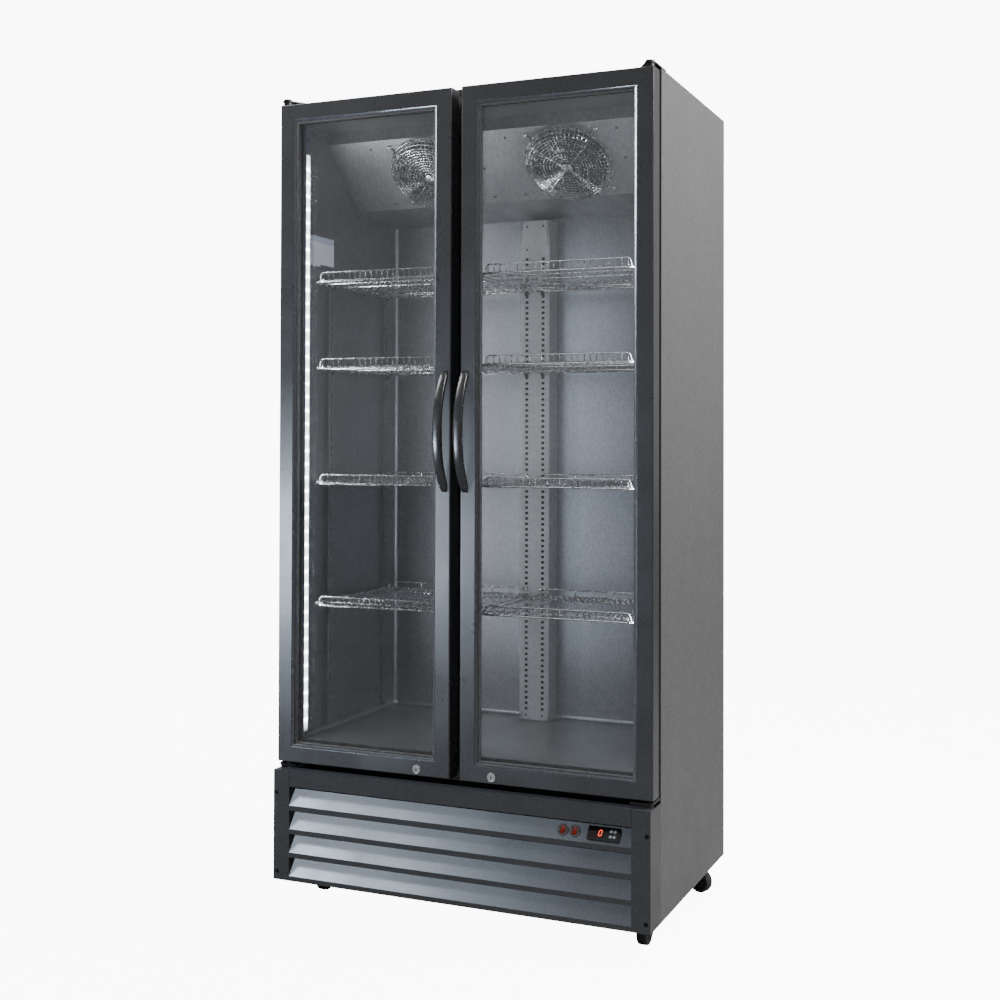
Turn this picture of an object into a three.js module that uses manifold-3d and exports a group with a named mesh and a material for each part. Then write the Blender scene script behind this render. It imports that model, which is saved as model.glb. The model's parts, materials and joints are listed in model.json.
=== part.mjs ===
// A two-door upright glass door merchandiser: a refrigerated display cabinet on swivel casters.
// Millimetres, +Z up. X runs across the doors, and the doors face -Y. Inside this file Y = 0 is the
// front plane of the closed doors and Z = 0 is the floor; the exported group is centred in depth.
import * as THREE from "three";
import { mergeVertices } from "three/addons/utils/BufferGeometryUtils.js";
import Module from "manifold-3d";

const wasm = await Module();
wasm.setup();

// ---------------------------------------------------------------- driving dimensions
const WIDTH = 1000;
const BODY_FRONT = 61.5; // the face that the door gaskets close on
const BODY_BACK = 652;
const BASE_BOTTOM = 70; // clearance under the base, made by the casters
const CABINET_TOP = 2059;
const SHEET = 0.9; // steel skins
const GAP = 0.3; // left between pieces that touch

const INNER_HALF = 466; // storage space, from the middle to a side wall
const INNER_BACK = 577;
const FLOOR = 413;
const CEILING = 2010;
const FOAM_BOTTOM = 350;
const COMPARTMENT_TOP = 402; // top edge of the rear vent panel

const DOOR_BOTTOM = 366;
const DOOR_TOP = 2050;
const DOOR_DEPTH = 45;
const DOOR_GAP_HALF = 13.3; // from the middle to each door's meeting edge
const RAIL = 40; // face width of the door rails and stiles
const BEAD = 6.5; // glazing bead inside the rails
const DOOR_WALL = 3;
const PROFILE_WIDTH = 33; // hollow part of the door profile
const HINGE_X = 487;
const HINGE_Y = 14;
const PIN_RADIUS = 5;
const PIN_HOLE_RADIUS = 5.6;
const GASKET_INSET = 11;
const GASKET_WIDTH = 17;
const GASKET_MIDDLE = [2, 14]; // the same strip, measured from the meeting edge

const HANDLE_X = 27.5;
const HANDLE_WIDTH = 24;
const HANDLE_LOW = 1062;
const HANDLE_HIGH = 1357;
const HANDLE_REACH = 53; // how far the grip stands out from the door
const LOCK_X = 100;
const LOCK_Z = 383;
const CAM_LENGTH = 40;

const KICK_FRONT = -17.8; // front face of the base grille
const KICK_TOP = 348;
const POST = 46; // width of the grille's side posts
const LOUVRE_PITCH = 59.3;
const LOUVRE_LIP = 12.5;
const LOUVRE_RISE = 36.5;
const LOUVRE_DEPTH = 29.8;
const LOUVRE_COUNT = 4;
const KICK_SHEET = 1.5;
const KICK_FLANGE_BACK = 19.5; // rear edge of the grille's top flange, which the lock cams turn down behind

const CONTROLLER_X = 385;
const CONTROLLER_SIZE = [80, 34, 8];
const BUTTON_RADIUS = 3.8;
const BUTTON_COLUMNS = [17.5, 26.6];
const BUTTON_ROW = 6.3;
const SWITCH_XS = [283, 312.4];
const SWITCH_RADIUS = 13.7;
const ROCKER_SIZE = [11, 18.4];

const SHELF_LEVELS = [760, 1075, 1375, 1600]; // height of the wire deck, lowest first
const SHELF_INNER = 12; // from the middle to a shelf's inner end
const SHELF_OUTER = 452;
const SHELF_FRONT = 73;
const SHELF_BACK = 511;
const SHELF_CORNER = 38; // cut corner at the front
const SHELF_LIP = 24;
const WIRE = 5;

const STANDARD_YS = [189, 500];
const STANDARD_TOP = 1640;
const REAR_STANDARD_HALF = 43;
const REAR_STANDARD_FRONT = 518;
const REAR_STANDARD_TOP = 1797;
const CLIP_X = 24; // clip columns on the rear standard and on the mullion
const MULLION_HALF = 29;
const MULLION_BACK = 92;

const COVER_FRONT = 178; // evaporator cover: top of its slope
const COVER_DROP_Z = 1978.6;
const COVER_LOW = [357, 1826];
const COVER_BACK_Z = 1808;
const FAN_X = 194;
const FAN_ALONG_SLOPE = 119;
const FAN_HOLE_RADIUS = 103;
const GUARD_RADIUS = 114;
const GUARD_STANDOFF = 30;

const CASTER_X = 447;
const CASTER_YS = [130, 540];
const CASTER_TRAIL = 22;
// How far each wheel has swivelled from straight back, in degrees, front row first, left before right.
const CASTER_TURNS = [
  [0, 180],
  [25, -110],
];
const WHEEL_RADIUS = 30;
const WHEEL_WIDTH = 25;

const CONDENSER_FAN_X = -250;
const CONDENSER_FAN_Z = 205;

const HALF = WIDTH / 2;
const DEPTH_CENTRE = (BODY_BACK - HANDLE_REACH) / 2;

// ---------------------------------------------------------------- materials
function finish(color, roughness, metalness) {
  return new THREE.MeshStandardMaterial({ color, roughness, metalness });
}
const charcoal = finish(0x6b6a6b, 0.55, 0.3);
const doorCharcoal = finish(0x3a3a3f, 0.45, 0.3);
const linerSilver = finish(0xb9bcc2, 0.35, 0.6);
const foam = finish(0xd8c48a, 0.9, 0);
const galvanised = finish(0xc9cbd0, 0.4, 0.8);
const chrome = finish(0xe4e6ea, 0.15, 1);
const blackPlastic = finish(0x111112, 0.3, 0);
const blackRubber = finish(0x0c0c0d, 0.8, 0);
const glass = finish(0xdfeaf0, 0.05, 0);
const ledWhite = finish(0xf4f8ff, 0.3, 0);
const redPlastic = finish(0xd83a32, 0.3, 0);
const whitePlastic = finish(0xe6ebee, 0.4, 0);
const blackSteel = finish(0x17181a, 0.45, 0.6);
const copperFins = finish(0xb2b5ba, 0.4, 0.8);

// ---------------------------------------------------------------- solids
function solidOf(geometry) {
  const bare = geometry.index ? geometry.toNonIndexed() : geometry.clone();
  bare.deleteAttribute("normal");
  bare.deleteAttribute("uv");
  const merged = mergeVertices(bare, 1e-4);
  return new wasm.Manifold(
    new wasm.Mesh({
      numProp: 3,
      vertProperties: merged.attributes.position.array,
      triVerts: new Uint32Array(merged.index.array),
    }),
  );
}

function geometryOf(solid) {
  const mesh = solid.getMesh();
  const geometry = new THREE.BufferGeometry();
  geometry.setAttribute("position", new THREE.BufferAttribute(mesh.vertProperties, 3));
  geometry.setIndex(new THREE.BufferAttribute(mesh.triVerts, 1));
  const flat = geometry.toNonIndexed();
  flat.computeVertexNormals();
  return flat;
}

function box(x0, x1, y0, y1, z0, z1) {
  const geometry = new THREE.BoxGeometry(x1 - x0, y1 - y0, z1 - z0);
  geometry.translate((x0 + x1) / 2, (y0 + y1) / 2, (z0 + z1) / 2);
  return solidOf(geometry);
}

// A cylinder between two heights along "x", "y" or "z", centred on the other two coordinates.
function rod(along, radius, low, high, centre, sides = 20) {
  const geometry = new THREE.CylinderGeometry(radius, radius, high - low, sides);
  const middle = (low + high) / 2;
  if (along === "z") geometry.rotateX(Math.PI / 2).translate(centre[0], centre[1], middle);
  if (along === "x") geometry.rotateZ(Math.PI / 2).translate(middle, centre[0], centre[1]);
  if (along === "y") geometry.translate(centre[0], middle, centre[1]);
  return solidOf(geometry);
}

// A closed outline extruded from 0 to depth along +Z of its own plane.
function prism(points, depth) {
  const shape = new THREE.Shape(points.map(([a, b]) => new THREE.Vector2(a, b)));
  return new THREE.ExtrudeGeometry(shape, { depth, bevelEnabled: false });
}

// An outline in the (Y, Z) plane extruded along X between x0 and x1.
function extrudeAcross(points, x0, x1) {
  const geometry = prism(points, x1 - x0);
  geometry.applyMatrix4(
    new THREE.Matrix4().makeBasis(
      new THREE.Vector3(0, 1, 0),
      new THREE.Vector3(0, 0, 1),
      new THREE.Vector3(1, 0, 0),
    ),
  );
  return solidOf(geometry.translate(x0, 0, 0));
}

// An outline in the (X, Y) plane extruded upwards between z0 and z1.
function extrudeUp(points, z0, z1) {
  return solidOf(prism(points, z1 - z0).translate(0, 0, z0));
}

// A flat ring round the Z axis.
function ring(inner, outer, z0, z1, sides) {
  const profile = [
    [inner, z0],
    [outer, z0],
    [outer, z1],
    [inner, z1],
    [inner, z0],
  ].map(([r, z]) => new THREE.Vector2(r, z));
  const geometry = new THREE.LatheGeometry(profile, sides);
  return solidOf(geometry.rotateX(Math.PI / 2));
}

function union(solids) {
  return solids.reduce((sum, next) => sum.add(next));
}

function mirrored(solid) {
  return solid.mirror([1, 0, 0]);
}

// A strip of sheet that follows the points with its thickness to the left of its path.
function stripOutline(points, thickness) {
  const offset = points.map((point, i) => {
    const before = points[Math.max(i - 1, 0)];
    const after = points[Math.min(i + 1, points.length - 1)];
    const into = new THREE.Vector2(point[0] - before[0], point[1] - before[1]).normalize();
    const out = new THREE.Vector2(after[0] - point[0], after[1] - point[1]).normalize();
    if (i === 0) into.copy(out);
    if (i === points.length - 1) out.copy(into);
    const side = new THREE.Vector2(-into.y - out.y, into.x + out.x).normalize();
    const scale = thickness / Math.max(0.3, side.dot(new THREE.Vector2(-into.y, into.x)));
    return [point[0] + side.x * scale, point[1] + side.y * scale];
  });
  return [...points, ...offset.reverse()];
}

const cabinet = new THREE.Group();
cabinet.position.y = -DEPTH_CENTRE;

function addPart(name, solid, material, parent = cabinet) {
  const mesh = new THREE.Mesh(geometryOf(solid), material);
  mesh.name = name;
  parent.add(mesh);
  return mesh;
}

// ---------------------------------------------------------------- cabinet shell
function buildShell() {
  const sideTop = CABINET_TOP - SHEET - GAP;
  const skin = [
    [HALF - 32, BODY_FRONT],
    [HALF, BODY_FRONT],
    [HALF, BODY_BACK],
    [HALF - 14, BODY_BACK],
    [HALF - 14, BODY_BACK - SHEET],
    [HALF - SHEET, BODY_BACK - SHEET],
    [HALF - SHEET, BODY_FRONT + SHEET],
    [HALF - 32, BODY_FRONT + SHEET],
  ];
  const right = extrudeUp(skin, BASE_BOTTOM, sideTop);
  addPart("right_side_panel", right, charcoal);
  addPart("left_side_panel", mirrored(right), charcoal);

  const lid = box(-HALF, HALF, BODY_FRONT, BODY_BACK, CABINET_TOP - SHEET, CABINET_TOP);
  const header = box(
    -HALF + 32 + GAP,
    HALF - 32 - GAP,
    BODY_FRONT,
    BODY_FRONT + SHEET,
    CEILING,
    CABINET_TOP - SHEET / 2,
  );
  addPart("top_panel", lid.add(header), charcoal);

  const backHalf = HALF - 14 - GAP;
  const back = [BODY_BACK - SHEET, BODY_BACK];
  addPart("back_panel", box(-backHalf, backHalf, ...back, COMPARTMENT_TOP, sideTop), charcoal);

  const outer = HALF - SHEET - GAP;
  const foamBack = BODY_BACK - SHEET - GAP;
  const foamFront = BODY_FRONT + SHEET + GAP;
  const cavity = INNER_HALF + SHEET + GAP;
  const block = box(-outer, outer, foamFront, foamBack, FOAM_BOTTOM, sideTop);
  const hollow = box(
    -cavity,
    cavity,
    foamFront - 10,
    INNER_BACK + SHEET + GAP,
    FLOOR - SHEET - GAP,
    CEILING + SHEET + GAP,
  );
  addPart("insulation", block.subtract(hollow), foam);
}

// The liner carries the front sill, the four wall standards and their shelf clips.
function buildLiner() {
  const skin = INNER_HALF + SHEET;
  const tub = box(-skin, skin, BODY_FRONT, INNER_BACK + SHEET, FLOOR - SHEET, CEILING + SHEET);
  const room = box(-INNER_HALF, INNER_HALF, BODY_FRONT - 10, INNER_BACK, FLOOR, CEILING);
  const header = box(-HALF, HALF, BODY_FRONT - 1, BODY_FRONT + SHEET + GAP, CEILING, CEILING + 5);
  const sill = box(-skin, skin, BODY_FRONT, BODY_FRONT + SHEET, FOAM_BOTTOM, FLOOR);
  const pieces = [tub.subtract(room).subtract(header), sill];
  for (const y of STANDARD_YS) {
    const wall = box(INNER_HALF - 10, INNER_HALF + 0.5, y - 12, y + 12, FLOOR + 18, STANDARD_TOP);
    const clips = SHELF_LEVELS.map((z) =>
      box(INNER_HALF - 21, INNER_HALF - 9, y - 6, y + 6, z - 12, z - WIRE / 2 - GAP),
    );
    const standard = union([wall, ...clips]);
    pieces.push(standard, mirrored(standard));
  }
  addPart("inner_liner", union(pieces), linerSilver);
}

function buildMiddleSupports() {
  const clipsAt = (y0, y1) =>
    SHELF_LEVELS.flatMap((z) =>
      [-CLIP_X, CLIP_X].map((x) => box(x - 5, x + 5, y0, y1, z - 12, z - WIRE / 2 - GAP)),
    );
  const half = REAR_STANDARD_HALF;
  const channel = extrudeUp(
    [
      [-half, INNER_BACK - GAP],
      [-half, REAR_STANDARD_FRONT],
      [half, REAR_STANDARD_FRONT],
      [half, INNER_BACK - GAP],
      [half - 2, INNER_BACK - GAP],
      [half - 2, REAR_STANDARD_FRONT + 2],
      [-half + 2, REAR_STANDARD_FRONT + 2],
      [-half + 2, INNER_BACK - GAP],
    ],
    FLOOR + 2,
    REAR_STANDARD_TOP,
  );
  const rear = union([channel, ...clipsAt(REAR_STANDARD_FRONT - 14, REAR_STANDARD_FRONT + 1)]);
  addPart("rear_standard", rear, galvanised);

  const m = MULLION_HALF;
  const mullionOutline = [
    [-m, BODY_FRONT],
    [m, BODY_FRONT],
    [m, MULLION_BACK],
    [m - 2, MULLION_BACK],
    [m - 2, BODY_FRONT + 2],
    [-m + 2, BODY_FRONT + 2],
    [-m + 2, MULLION_BACK],
    [-m, MULLION_BACK],
  ];
  const bar = extrudeUp(mullionOutline, FLOOR + GAP, CEILING - GAP);
  const front = SHELF_LEVELS.flatMap((z) =>
    [-19, 19].map((x) =>
      box(x - 10, x + 10, MULLION_BACK - 3, MULLION_BACK + 26, z - 12, z - WIRE / 2 - GAP),
    ),
  );
  addPart("centre_mullion", union([bar, ...front]), linerSilver);
}

// ---------------------------------------------------------------- base
function louvreOutline(lipBottom) {
  const front = KICK_FRONT;
  const lipTop = lipBottom + LOUVRE_LIP;
  return stripOutline(
    [
      [front + LOUVRE_DEPTH, lipTop + LOUVRE_RISE],
      [front, lipTop],
      [front, lipBottom],
    ],
    KICK_SHEET,
  );
}

// The plane of the top louvre, as a matrix: X across, Y up the slope, Z out of the face.
function controlPlane() {
  const lipTop = BASE_BOTTOM + LOUVRE_PITCH * (LOUVRE_COUNT - 1) + LOUVRE_LIP;
  const up = new THREE.Vector3(0, LOUVRE_DEPTH, LOUVRE_RISE).normalize();
  const across = new THREE.Vector3(1, 0, 0);
  const out = new THREE.Vector3().crossVectors(across, up);
  const place = new THREE.Matrix4().makeBasis(across, up, out);
  return place.setPosition(0, KICK_FRONT + LOUVRE_DEPTH / 2, lipTop + LOUVRE_RISE / 2);
}

function movedBy(solid, matrix) {
  return solid.transform(matrix.toArray());
}

function buildGrille() {
  const front = [KICK_FRONT, KICK_FRONT + KICK_SHEET];
  const open = HALF - POST;
  const railBottom = KICK_TOP - RAIL;
  const rail = box(-HALF, HALF, ...front, railBottom, KICK_TOP);
  const flange = box(-HALF, HALF, KICK_FRONT, KICK_FLANGE_BACK, KICK_TOP - KICK_SHEET, KICK_TOP);
  const post = box(open, HALF, ...front, BASE_BOTTOM, KICK_TOP);
  const flank = box(
    HALF - KICK_SHEET,
    HALF,
    KICK_FRONT,
    BODY_FRONT - GAP,
    BASE_BOTTOM,
    KICK_TOP,
  );
  const inner = box(open, open + KICK_SHEET, KICK_FRONT, 40, BASE_BOTTOM, KICK_TOP);
  const side = union([post, flank, inner]);
  const louvres = [];
  for (let i = 0; i < LOUVRE_COUNT; i += 1) {
    const outline = louvreOutline(BASE_BOTTOM + LOUVRE_PITCH * i);
    louvres.push(extrudeAcross(outline, -open - 1, open + 1));
  }
  let grille = union([rail, flange, side, mirrored(side), ...louvres]);

  const plane = controlPlane();
  const [w, h] = CONTROLLER_SIZE;
  const recess = box(CONTROLLER_X - w / 2 + 4, CONTROLLER_X + w / 2 - 4, 2 - h / 2, h / 2 - 2, -20, 5);
  grille = grille.subtract(movedBy(recess, plane));
  for (const x of SWITCH_XS) {
    const bezel = rod("z", SWITCH_RADIUS, -1, 3, [x, 0], 28);
    const [rw, rh] = ROCKER_SIZE;
    const slot = box(x - rw / 2 - 0.5, x + rw / 2 + 0.5, -rh / 2 - 0.7, rh / 2 + 0.7, -20, 10);
    grille = grille.add(movedBy(bezel, plane)).subtract(movedBy(slot, plane));
  }
  addPart("grille", grille, doorCharcoal);
}

function buildControls() {
  const panel = new THREE.Group();
  panel.applyMatrix4(controlPlane());
  cabinet.add(panel);

  const [w, h, proud] = CONTROLLER_SIZE;
  const face = box(-w / 2, w / 2, -h / 2, h / 2, GAP, proud);
  const body = box(-w / 2 + 4.5, w / 2 - 4.5, 2.5 - h / 2, h / 2 - 2.5, -14, GAP + 1);
  const wells = BUTTON_COLUMNS.flatMap((x) =>
    [-BUTTON_ROW, BUTTON_ROW].map((y) => rod("z", BUTTON_RADIUS + 0.4, proud - 4, proud + 1, [x, y], 16)),
  );
  const controller = wells.reduce((rest, well) => rest.subtract(well), face.add(body));
  addPart("controller", controller, blackPlastic, panel).position.x = CONTROLLER_X;

  let number = 1;
  for (const y of [BUTTON_ROW, -BUTTON_ROW]) {
    for (const x of BUTTON_COLUMNS) {
      const button = rod("z", BUTTON_RADIUS, -2.6, 1.2, [0, 0], 16);
      const mesh = addPart("button_" + number, button, whitePlastic, panel);
      mesh.position.set(CONTROLLER_X + x, y, proud);
      number += 1;
    }
  }

  // Each rocker is a shallow V that rests with its upper half pressed in.
  const [rw, rh] = ROCKER_SIZE;
  const rocker = extrudeAcross(
    [
      [-rh / 2, -3],
      [rh / 2, -3],
      [rh / 2, 2.4],
      [0, 0.6],
      [-rh / 2, 2.4],
    ],
    -rw / 2,
    rw / 2,
  );
  SWITCH_XS.forEach((x, i) => {
    const mesh = addPart(["rocker_left", "rocker_right"][i], rocker, redPlastic, panel);
    mesh.position.set(x, 0, 2.6);
    mesh.rotation.x = -THREE.MathUtils.degToRad(9);
  });
}

function buildBase() {
  const wide = HALF - SHEET - 2 * GAP;
  const narrow = HALF - POST - 2 * GAP;
  const step = BODY_FRONT + SHEET + 2 * GAP;
  const back = BODY_BACK - SHEET - 2 * GAP;
  const outline = (inset) => [
    [-narrow + inset, -9 + inset],
    [narrow - inset, -9 + inset],
    [narrow - inset, step + inset],
    [wide - inset, step + inset],
    [wide - inset, back - inset],
    [-wide + inset, back - inset],
    [-wide + inset, step + inset],
    [-narrow + inset, step + inset],
  ];
  const pan = extrudeUp(outline(0), 80.3, 106).subtract(extrudeUp(outline(2), 82.3, 120));
  const frontEdge = box(-HALF, HALF, -12, 40, 84, 120);
  const pads = CASTER_YS.flatMap((y) =>
    [-CASTER_X, CASTER_X].map((x) => box(x - 20, x + 20, y - 20, y + 20, 76.8, 81)),
  );
  addPart("base_tray", union([pan.subtract(frontEdge), ...pads]), galvanised);

  const half = HALF - 14 - GAP;
  const y0 = BODY_BACK - SHEET;
  let vent = box(-half, half, y0, BODY_BACK, BASE_BOTTOM + 14, COMPARTMENT_TOP - GAP);
  for (let row = 0; row < 5; row += 1) {
    const z = 200 + row * 36;
    for (const x of [-290, 0, 290]) {
      vent = vent.subtract(box(x - 96, x + 96, y0 - 5, BODY_BACK + 5, z - 7, z + 7));
    }
  }
  vent = vent.subtract(box(-422, -384, y0 - 5, BODY_BACK + 5, 116, 144));
  addPart("rear_vent_panel", vent, charcoal);

  const socket = box(-421.6, -384.4, BODY_BACK - 24, BODY_BACK, 116.4, 143.6);
  const mouth = box(-416, -390, BODY_BACK - 16, BODY_BACK + 1, 121, 139);
  addPart("power_inlet", socket.subtract(mouth), blackPlastic);
}

// Each caster is built round its swivel axis with the wheel trailing straight back, then turned.
function buildCaster(name, x, y, turn) {
  const caster = new THREE.Group();
  caster.position.set(x, y, 0);
  caster.rotation.z = THREE.MathUtils.degToRad(turn);
  cabinet.add(caster);

  const race = rod("z", 24, 66, 76.5, [0, 0], 20);
  const legOutline = [
    [-17, 67],
    [CASTER_TRAIL - 11, 24],
    [CASTER_TRAIL + 11, 24],
    [CASTER_TRAIL + 6, 67],
  ];
  const legs = [-1, 1].map((s) => {
    const low = s * (WHEEL_WIDTH / 2 + 3) - 1.25;
    return extrudeAcross(legOutline, low, low + 2.5);
  });
  const reach = WHEEL_WIDTH / 2 + 4.25;
  const crown = box(-reach, reach, -17, 17, 63.5, 68);
  const axle = rod("x", 4, -reach - 1, reach + 1, [CASTER_TRAIL, WHEEL_RADIUS], 12);
  addPart("caster_fork_" + name, union([race, crown, ...legs, axle]), blackSteel, caster);

  const r = WHEEL_RADIUS;
  const w = WHEEL_WIDTH / 2;
  const profile = [
    [4.5, -w],
    [r - 4, -w],
    [r, -w + 5],
    [r, w - 5],
    [r - 4, w],
    [4.5, w],
    [4.5, -w],
  ].map(([a, b]) => new THREE.Vector2(a, b));
  const tread = new THREE.LatheGeometry(profile, 28).rotateZ(-Math.PI / 2);
  const wheel = addPart("caster_wheel_" + name, solidOf(tread), blackRubber, caster);
  wheel.position.set(0, CASTER_TRAIL, r);
}

function buildCasters() {
  CASTER_YS.forEach((y, row) => {
    [-1, 1].forEach((s, column) => {
      const name = ["front_", "rear_"][row] + ["left", "right"][column];
      buildCaster(name, s * CASTER_X, y, CASTER_TURNS[row][column]);
    });
  });
}

// ---------------------------------------------------------------- doors
function buildDoor(side) {
  const name = side < 0 ? "left" : "right";
  const turn = (solid) => (side < 0 ? mirrored(solid) : solid);
  const x0 = DOOR_GAP_HALF;
  const x1 = HALF;
  // A rectangular block inset from the door's edges by the same amount all round.
  const slab = (inset, y0, y1) =>
    box(x0 + inset, x1 - inset, y0, y1, DOOR_BOTTOM + inset, DOOR_TOP - inset);
  const frameBlock = slab(0, 0, DOOR_DEPTH).subtract(slab(PROFILE_WIDTH, -5, DOOR_DEPTH + 5));
  const hollow = slab(DOOR_WALL, DOOR_WALL, DOOR_DEPTH - DOOR_WALL).subtract(
    slab(PROFILE_WIDTH - DOOR_WALL, 0, DOOR_DEPTH),
  );
  const opening = RAIL + BEAD;
  const lip = slab(PROFILE_WIDTH - 1, 0, 3.5).subtract(slab(opening, -5, 10));
  const stop = slab(PROFILE_WIDTH - 1, 24.6, 28).subtract(slab(opening - 2, 20, 40));
  let frame = union([frameBlock.subtract(hollow), lip, stop]);
  for (const z of [DOOR_BOTTOM, DOOR_TOP]) {
    frame = frame.subtract(rod("z", PIN_HOLE_RADIUS, z - 8, z + 8, [HINGE_X, HINGE_Y]));
  }
  frame = frame.subtract(rod("y", 9.5, -5, DOOR_WALL + 3, [LOCK_X, LOCK_Z]));
  const camSlot = box(LOCK_X - 8, LOCK_X + CAM_LENGTH + 2, 21, 27, DOOR_BOTTOM - 5, DOOR_BOTTOM + 5);
  addPart(name + "_door_frame", turn(frame.subtract(camSlot)), doorCharcoal);

  // Two panes with the gap between them open along the top edge, which the frame hides.
  const edge = PROFILE_WIDTH + GAP;
  const panes = slab(edge, 3.8, 24.2);
  const air = box(x0 + edge + 10, x1 - edge - 10, 8, 20, DOOR_BOTTOM + edge + 10, DOOR_TOP);
  addPart(name + "_door_glass", turn(panes.subtract(air)), glass);

  const strip = (inset, middle, y0, y1) =>
    box(x0 + middle, x1 - inset, y0, y1, DOOR_BOTTOM + inset, DOOR_TOP - inset);
  const [near, far] = GASKET_MIDDLE;
  const seal = strip(GASKET_INSET, near, DOOR_DEPTH + GAP, BODY_FRONT - GAP).subtract(
    strip(GASKET_INSET + GASKET_WIDTH, far, 40, 70),
  );
  addPart(name + "_door_gasket", turn(seal), blackRubber);

  addPart(name + "_door_handle", turn(handleSolid()), blackPlastic);

  const head = rod("y", 11, -8, -GAP, [LOCK_X, LOCK_Z], 28);
  const barrel = rod("y", 9, -1, 22, [LOCK_X, LOCK_Z], 20);
  const key = box(LOCK_X - 1, LOCK_X + 1, -9, -4, LOCK_Z - 4, LOCK_Z + 4);
  const cam = box(LOCK_X - 6, LOCK_X + CAM_LENGTH, 22.5, 25.5, LOCK_Z - 6, LOCK_Z + 6);
  const tail = rod("y", 5, 20, 24, [LOCK_X, LOCK_Z], 12);
  addPart(name + "_lock", turn(union([head, barrel, tail, cam]).subtract(key)), chrome);
}

// A flat band that bows out from the door between two feet.
function handleSolid() {
  const middle = (HANDLE_LOW + HANDLE_HIGH) / 2;
  const halfLength = (HANDLE_HIGH - HANDLE_LOW) / 2;
  const outer = [];
  const inner = [];
  const steps = 16;
  for (let i = 0; i <= steps; i += 1) {
    const t = -1 + (2 * i) / steps;
    const bow = Math.cos((t * Math.PI) / 2) ** 0.9;
    outer.push([-6 - (HANDLE_REACH - 6) * bow, middle + halfLength * t]);
    if (Math.abs(t) < 0.8) {
      const innerBow = Math.cos((t / 0.86) * (Math.PI / 2)) ** 0.8;
      inner.push([-GAP - (HANDLE_REACH - 13) * innerBow, middle + halfLength * t]);
    }
  }
  const foot = (z) => [-GAP, z];
  const outline = [
    foot(HANDLE_LOW),
    ...outer,
    foot(HANDLE_HIGH),
    foot(HANDLE_HIGH - 24),
    ...inner.reverse(),
    foot(HANDLE_LOW + 24),
  ];
  const half = HANDLE_WIDTH / 2;
  return extrudeAcross(outline, HANDLE_X - half, HANDLE_X + half);
}

function buildHinges(side) {
  const name = side < 0 ? "left" : "right";
  const turn = (solid) => (side < 0 ? mirrored(solid) : solid);
  const at = [HINGE_X, HINGE_Y];
  const plateZ = CABINET_TOP + GAP;
  const outline = [
    [HALF - 26, HINGE_Y],
    [HALF, HINGE_Y],
    [HALF, 100],
    [442, 100],
    [442, 64],
  ];
  const plate = extrudeUp(outline, plateZ, plateZ + 3.5);
  const nose = rod("z", 13, plateZ, plateZ + 3.5, at, 24);
  const boss = rod("z", 10.5, DOOR_TOP + GAP, plateZ + 7, at, 24);
  const pin = rod("z", PIN_RADIUS, DOOR_TOP - 20, DOOR_TOP + 4, at);
  addPart("top_hinge_" + name, turn(union([plate, nose, boss, pin])), galvanised);

  const armZ = KICK_TOP + 9;
  const arm = box(446, HALF - 1, HINGE_Y, BODY_FRONT - GAP, armZ, armZ + 4);
  const armNose = box(446, HINGE_X, -6, HINGE_Y + 1, armZ, armZ + 4);
  const armEnd = rod("z", 12, armZ, armZ + 4, at, 24);
  const backFlange = box(446, HALF - 1, BODY_FRONT - GAP - 3, BODY_FRONT - GAP, KICK_TOP + 2, armZ + 4);
  const cup = rod("z", 10, KICK_TOP + 1.5, armZ + 1, at, 24);
  const lowPin = rod("z", PIN_RADIUS, armZ, DOOR_BOTTOM + 20, at);
  const bracket = union([arm, armNose, armEnd, backFlange, cup, lowPin]);
  addPart("bottom_hinge_" + name, turn(bracket), galvanised);
}

// ---------------------------------------------------------------- shelves
function buildShelf(name, side, z) {
  const [x0, x1] = [SHELF_INNER, SHELF_OUTER];
  const corner = SHELF_CORNER;
  const outline = [
    [x0 + corner, SHELF_FRONT],
    [x1 - corner, SHELF_FRONT],
    [x1, SHELF_FRONT + corner],
    [x1, SHELF_BACK],
    [x0, SHELF_BACK],
    [x0, SHELF_FRONT + corner],
  ];
  let deck = extrudeUp(outline, z - WIRE / 2, z + WIRE / 2);
  const columns = 5;
  const rows = 2;
  const pitchX = (x1 - x0 - WIRE) / columns;
  const rowDepth = (SHELF_BACK - SHELF_FRONT - corner - 2 * WIRE) / rows;
  for (let i = 0; i < columns; i += 1) {
    for (let j = 0; j < rows; j += 1) {
      const left = x0 + WIRE + pitchX * i;
      const low = SHELF_FRONT + corner + WIRE + rowDepth * j;
      const hole = box(left, left + pitchX - WIRE, low, low + rowDepth - WIRE, z - 9, z + 9);
      deck = deck.subtract(hole);
    }
  }
  const fence = (xa, xb, y, height, bays) => {
    let wall = box(xa, xb, y, y + WIRE, z, z + height);
    const pitch = (xb - xa - WIRE) / bays;
    for (let i = 0; i < bays; i += 1) {
      const left = xa + WIRE + pitch * i;
      const top = z + height - WIRE;
      wall = wall.subtract(box(left, left + pitch - WIRE, y - 5, y + 10, z + WIRE / 2, top));
    }
    return wall;
  };
  const lip = fence(x0 + corner, x1 - corner, SHELF_FRONT, SHELF_LIP, 4);
  const stop = fence(x0 + 4, x1 - 4, SHELF_BACK - WIRE, SHELF_LIP - 4, 2);
  const shelf = union([deck, lip, stop]);
  addPart(name, side < 0 ? mirrored(shelf) : shelf, chrome);
}

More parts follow.
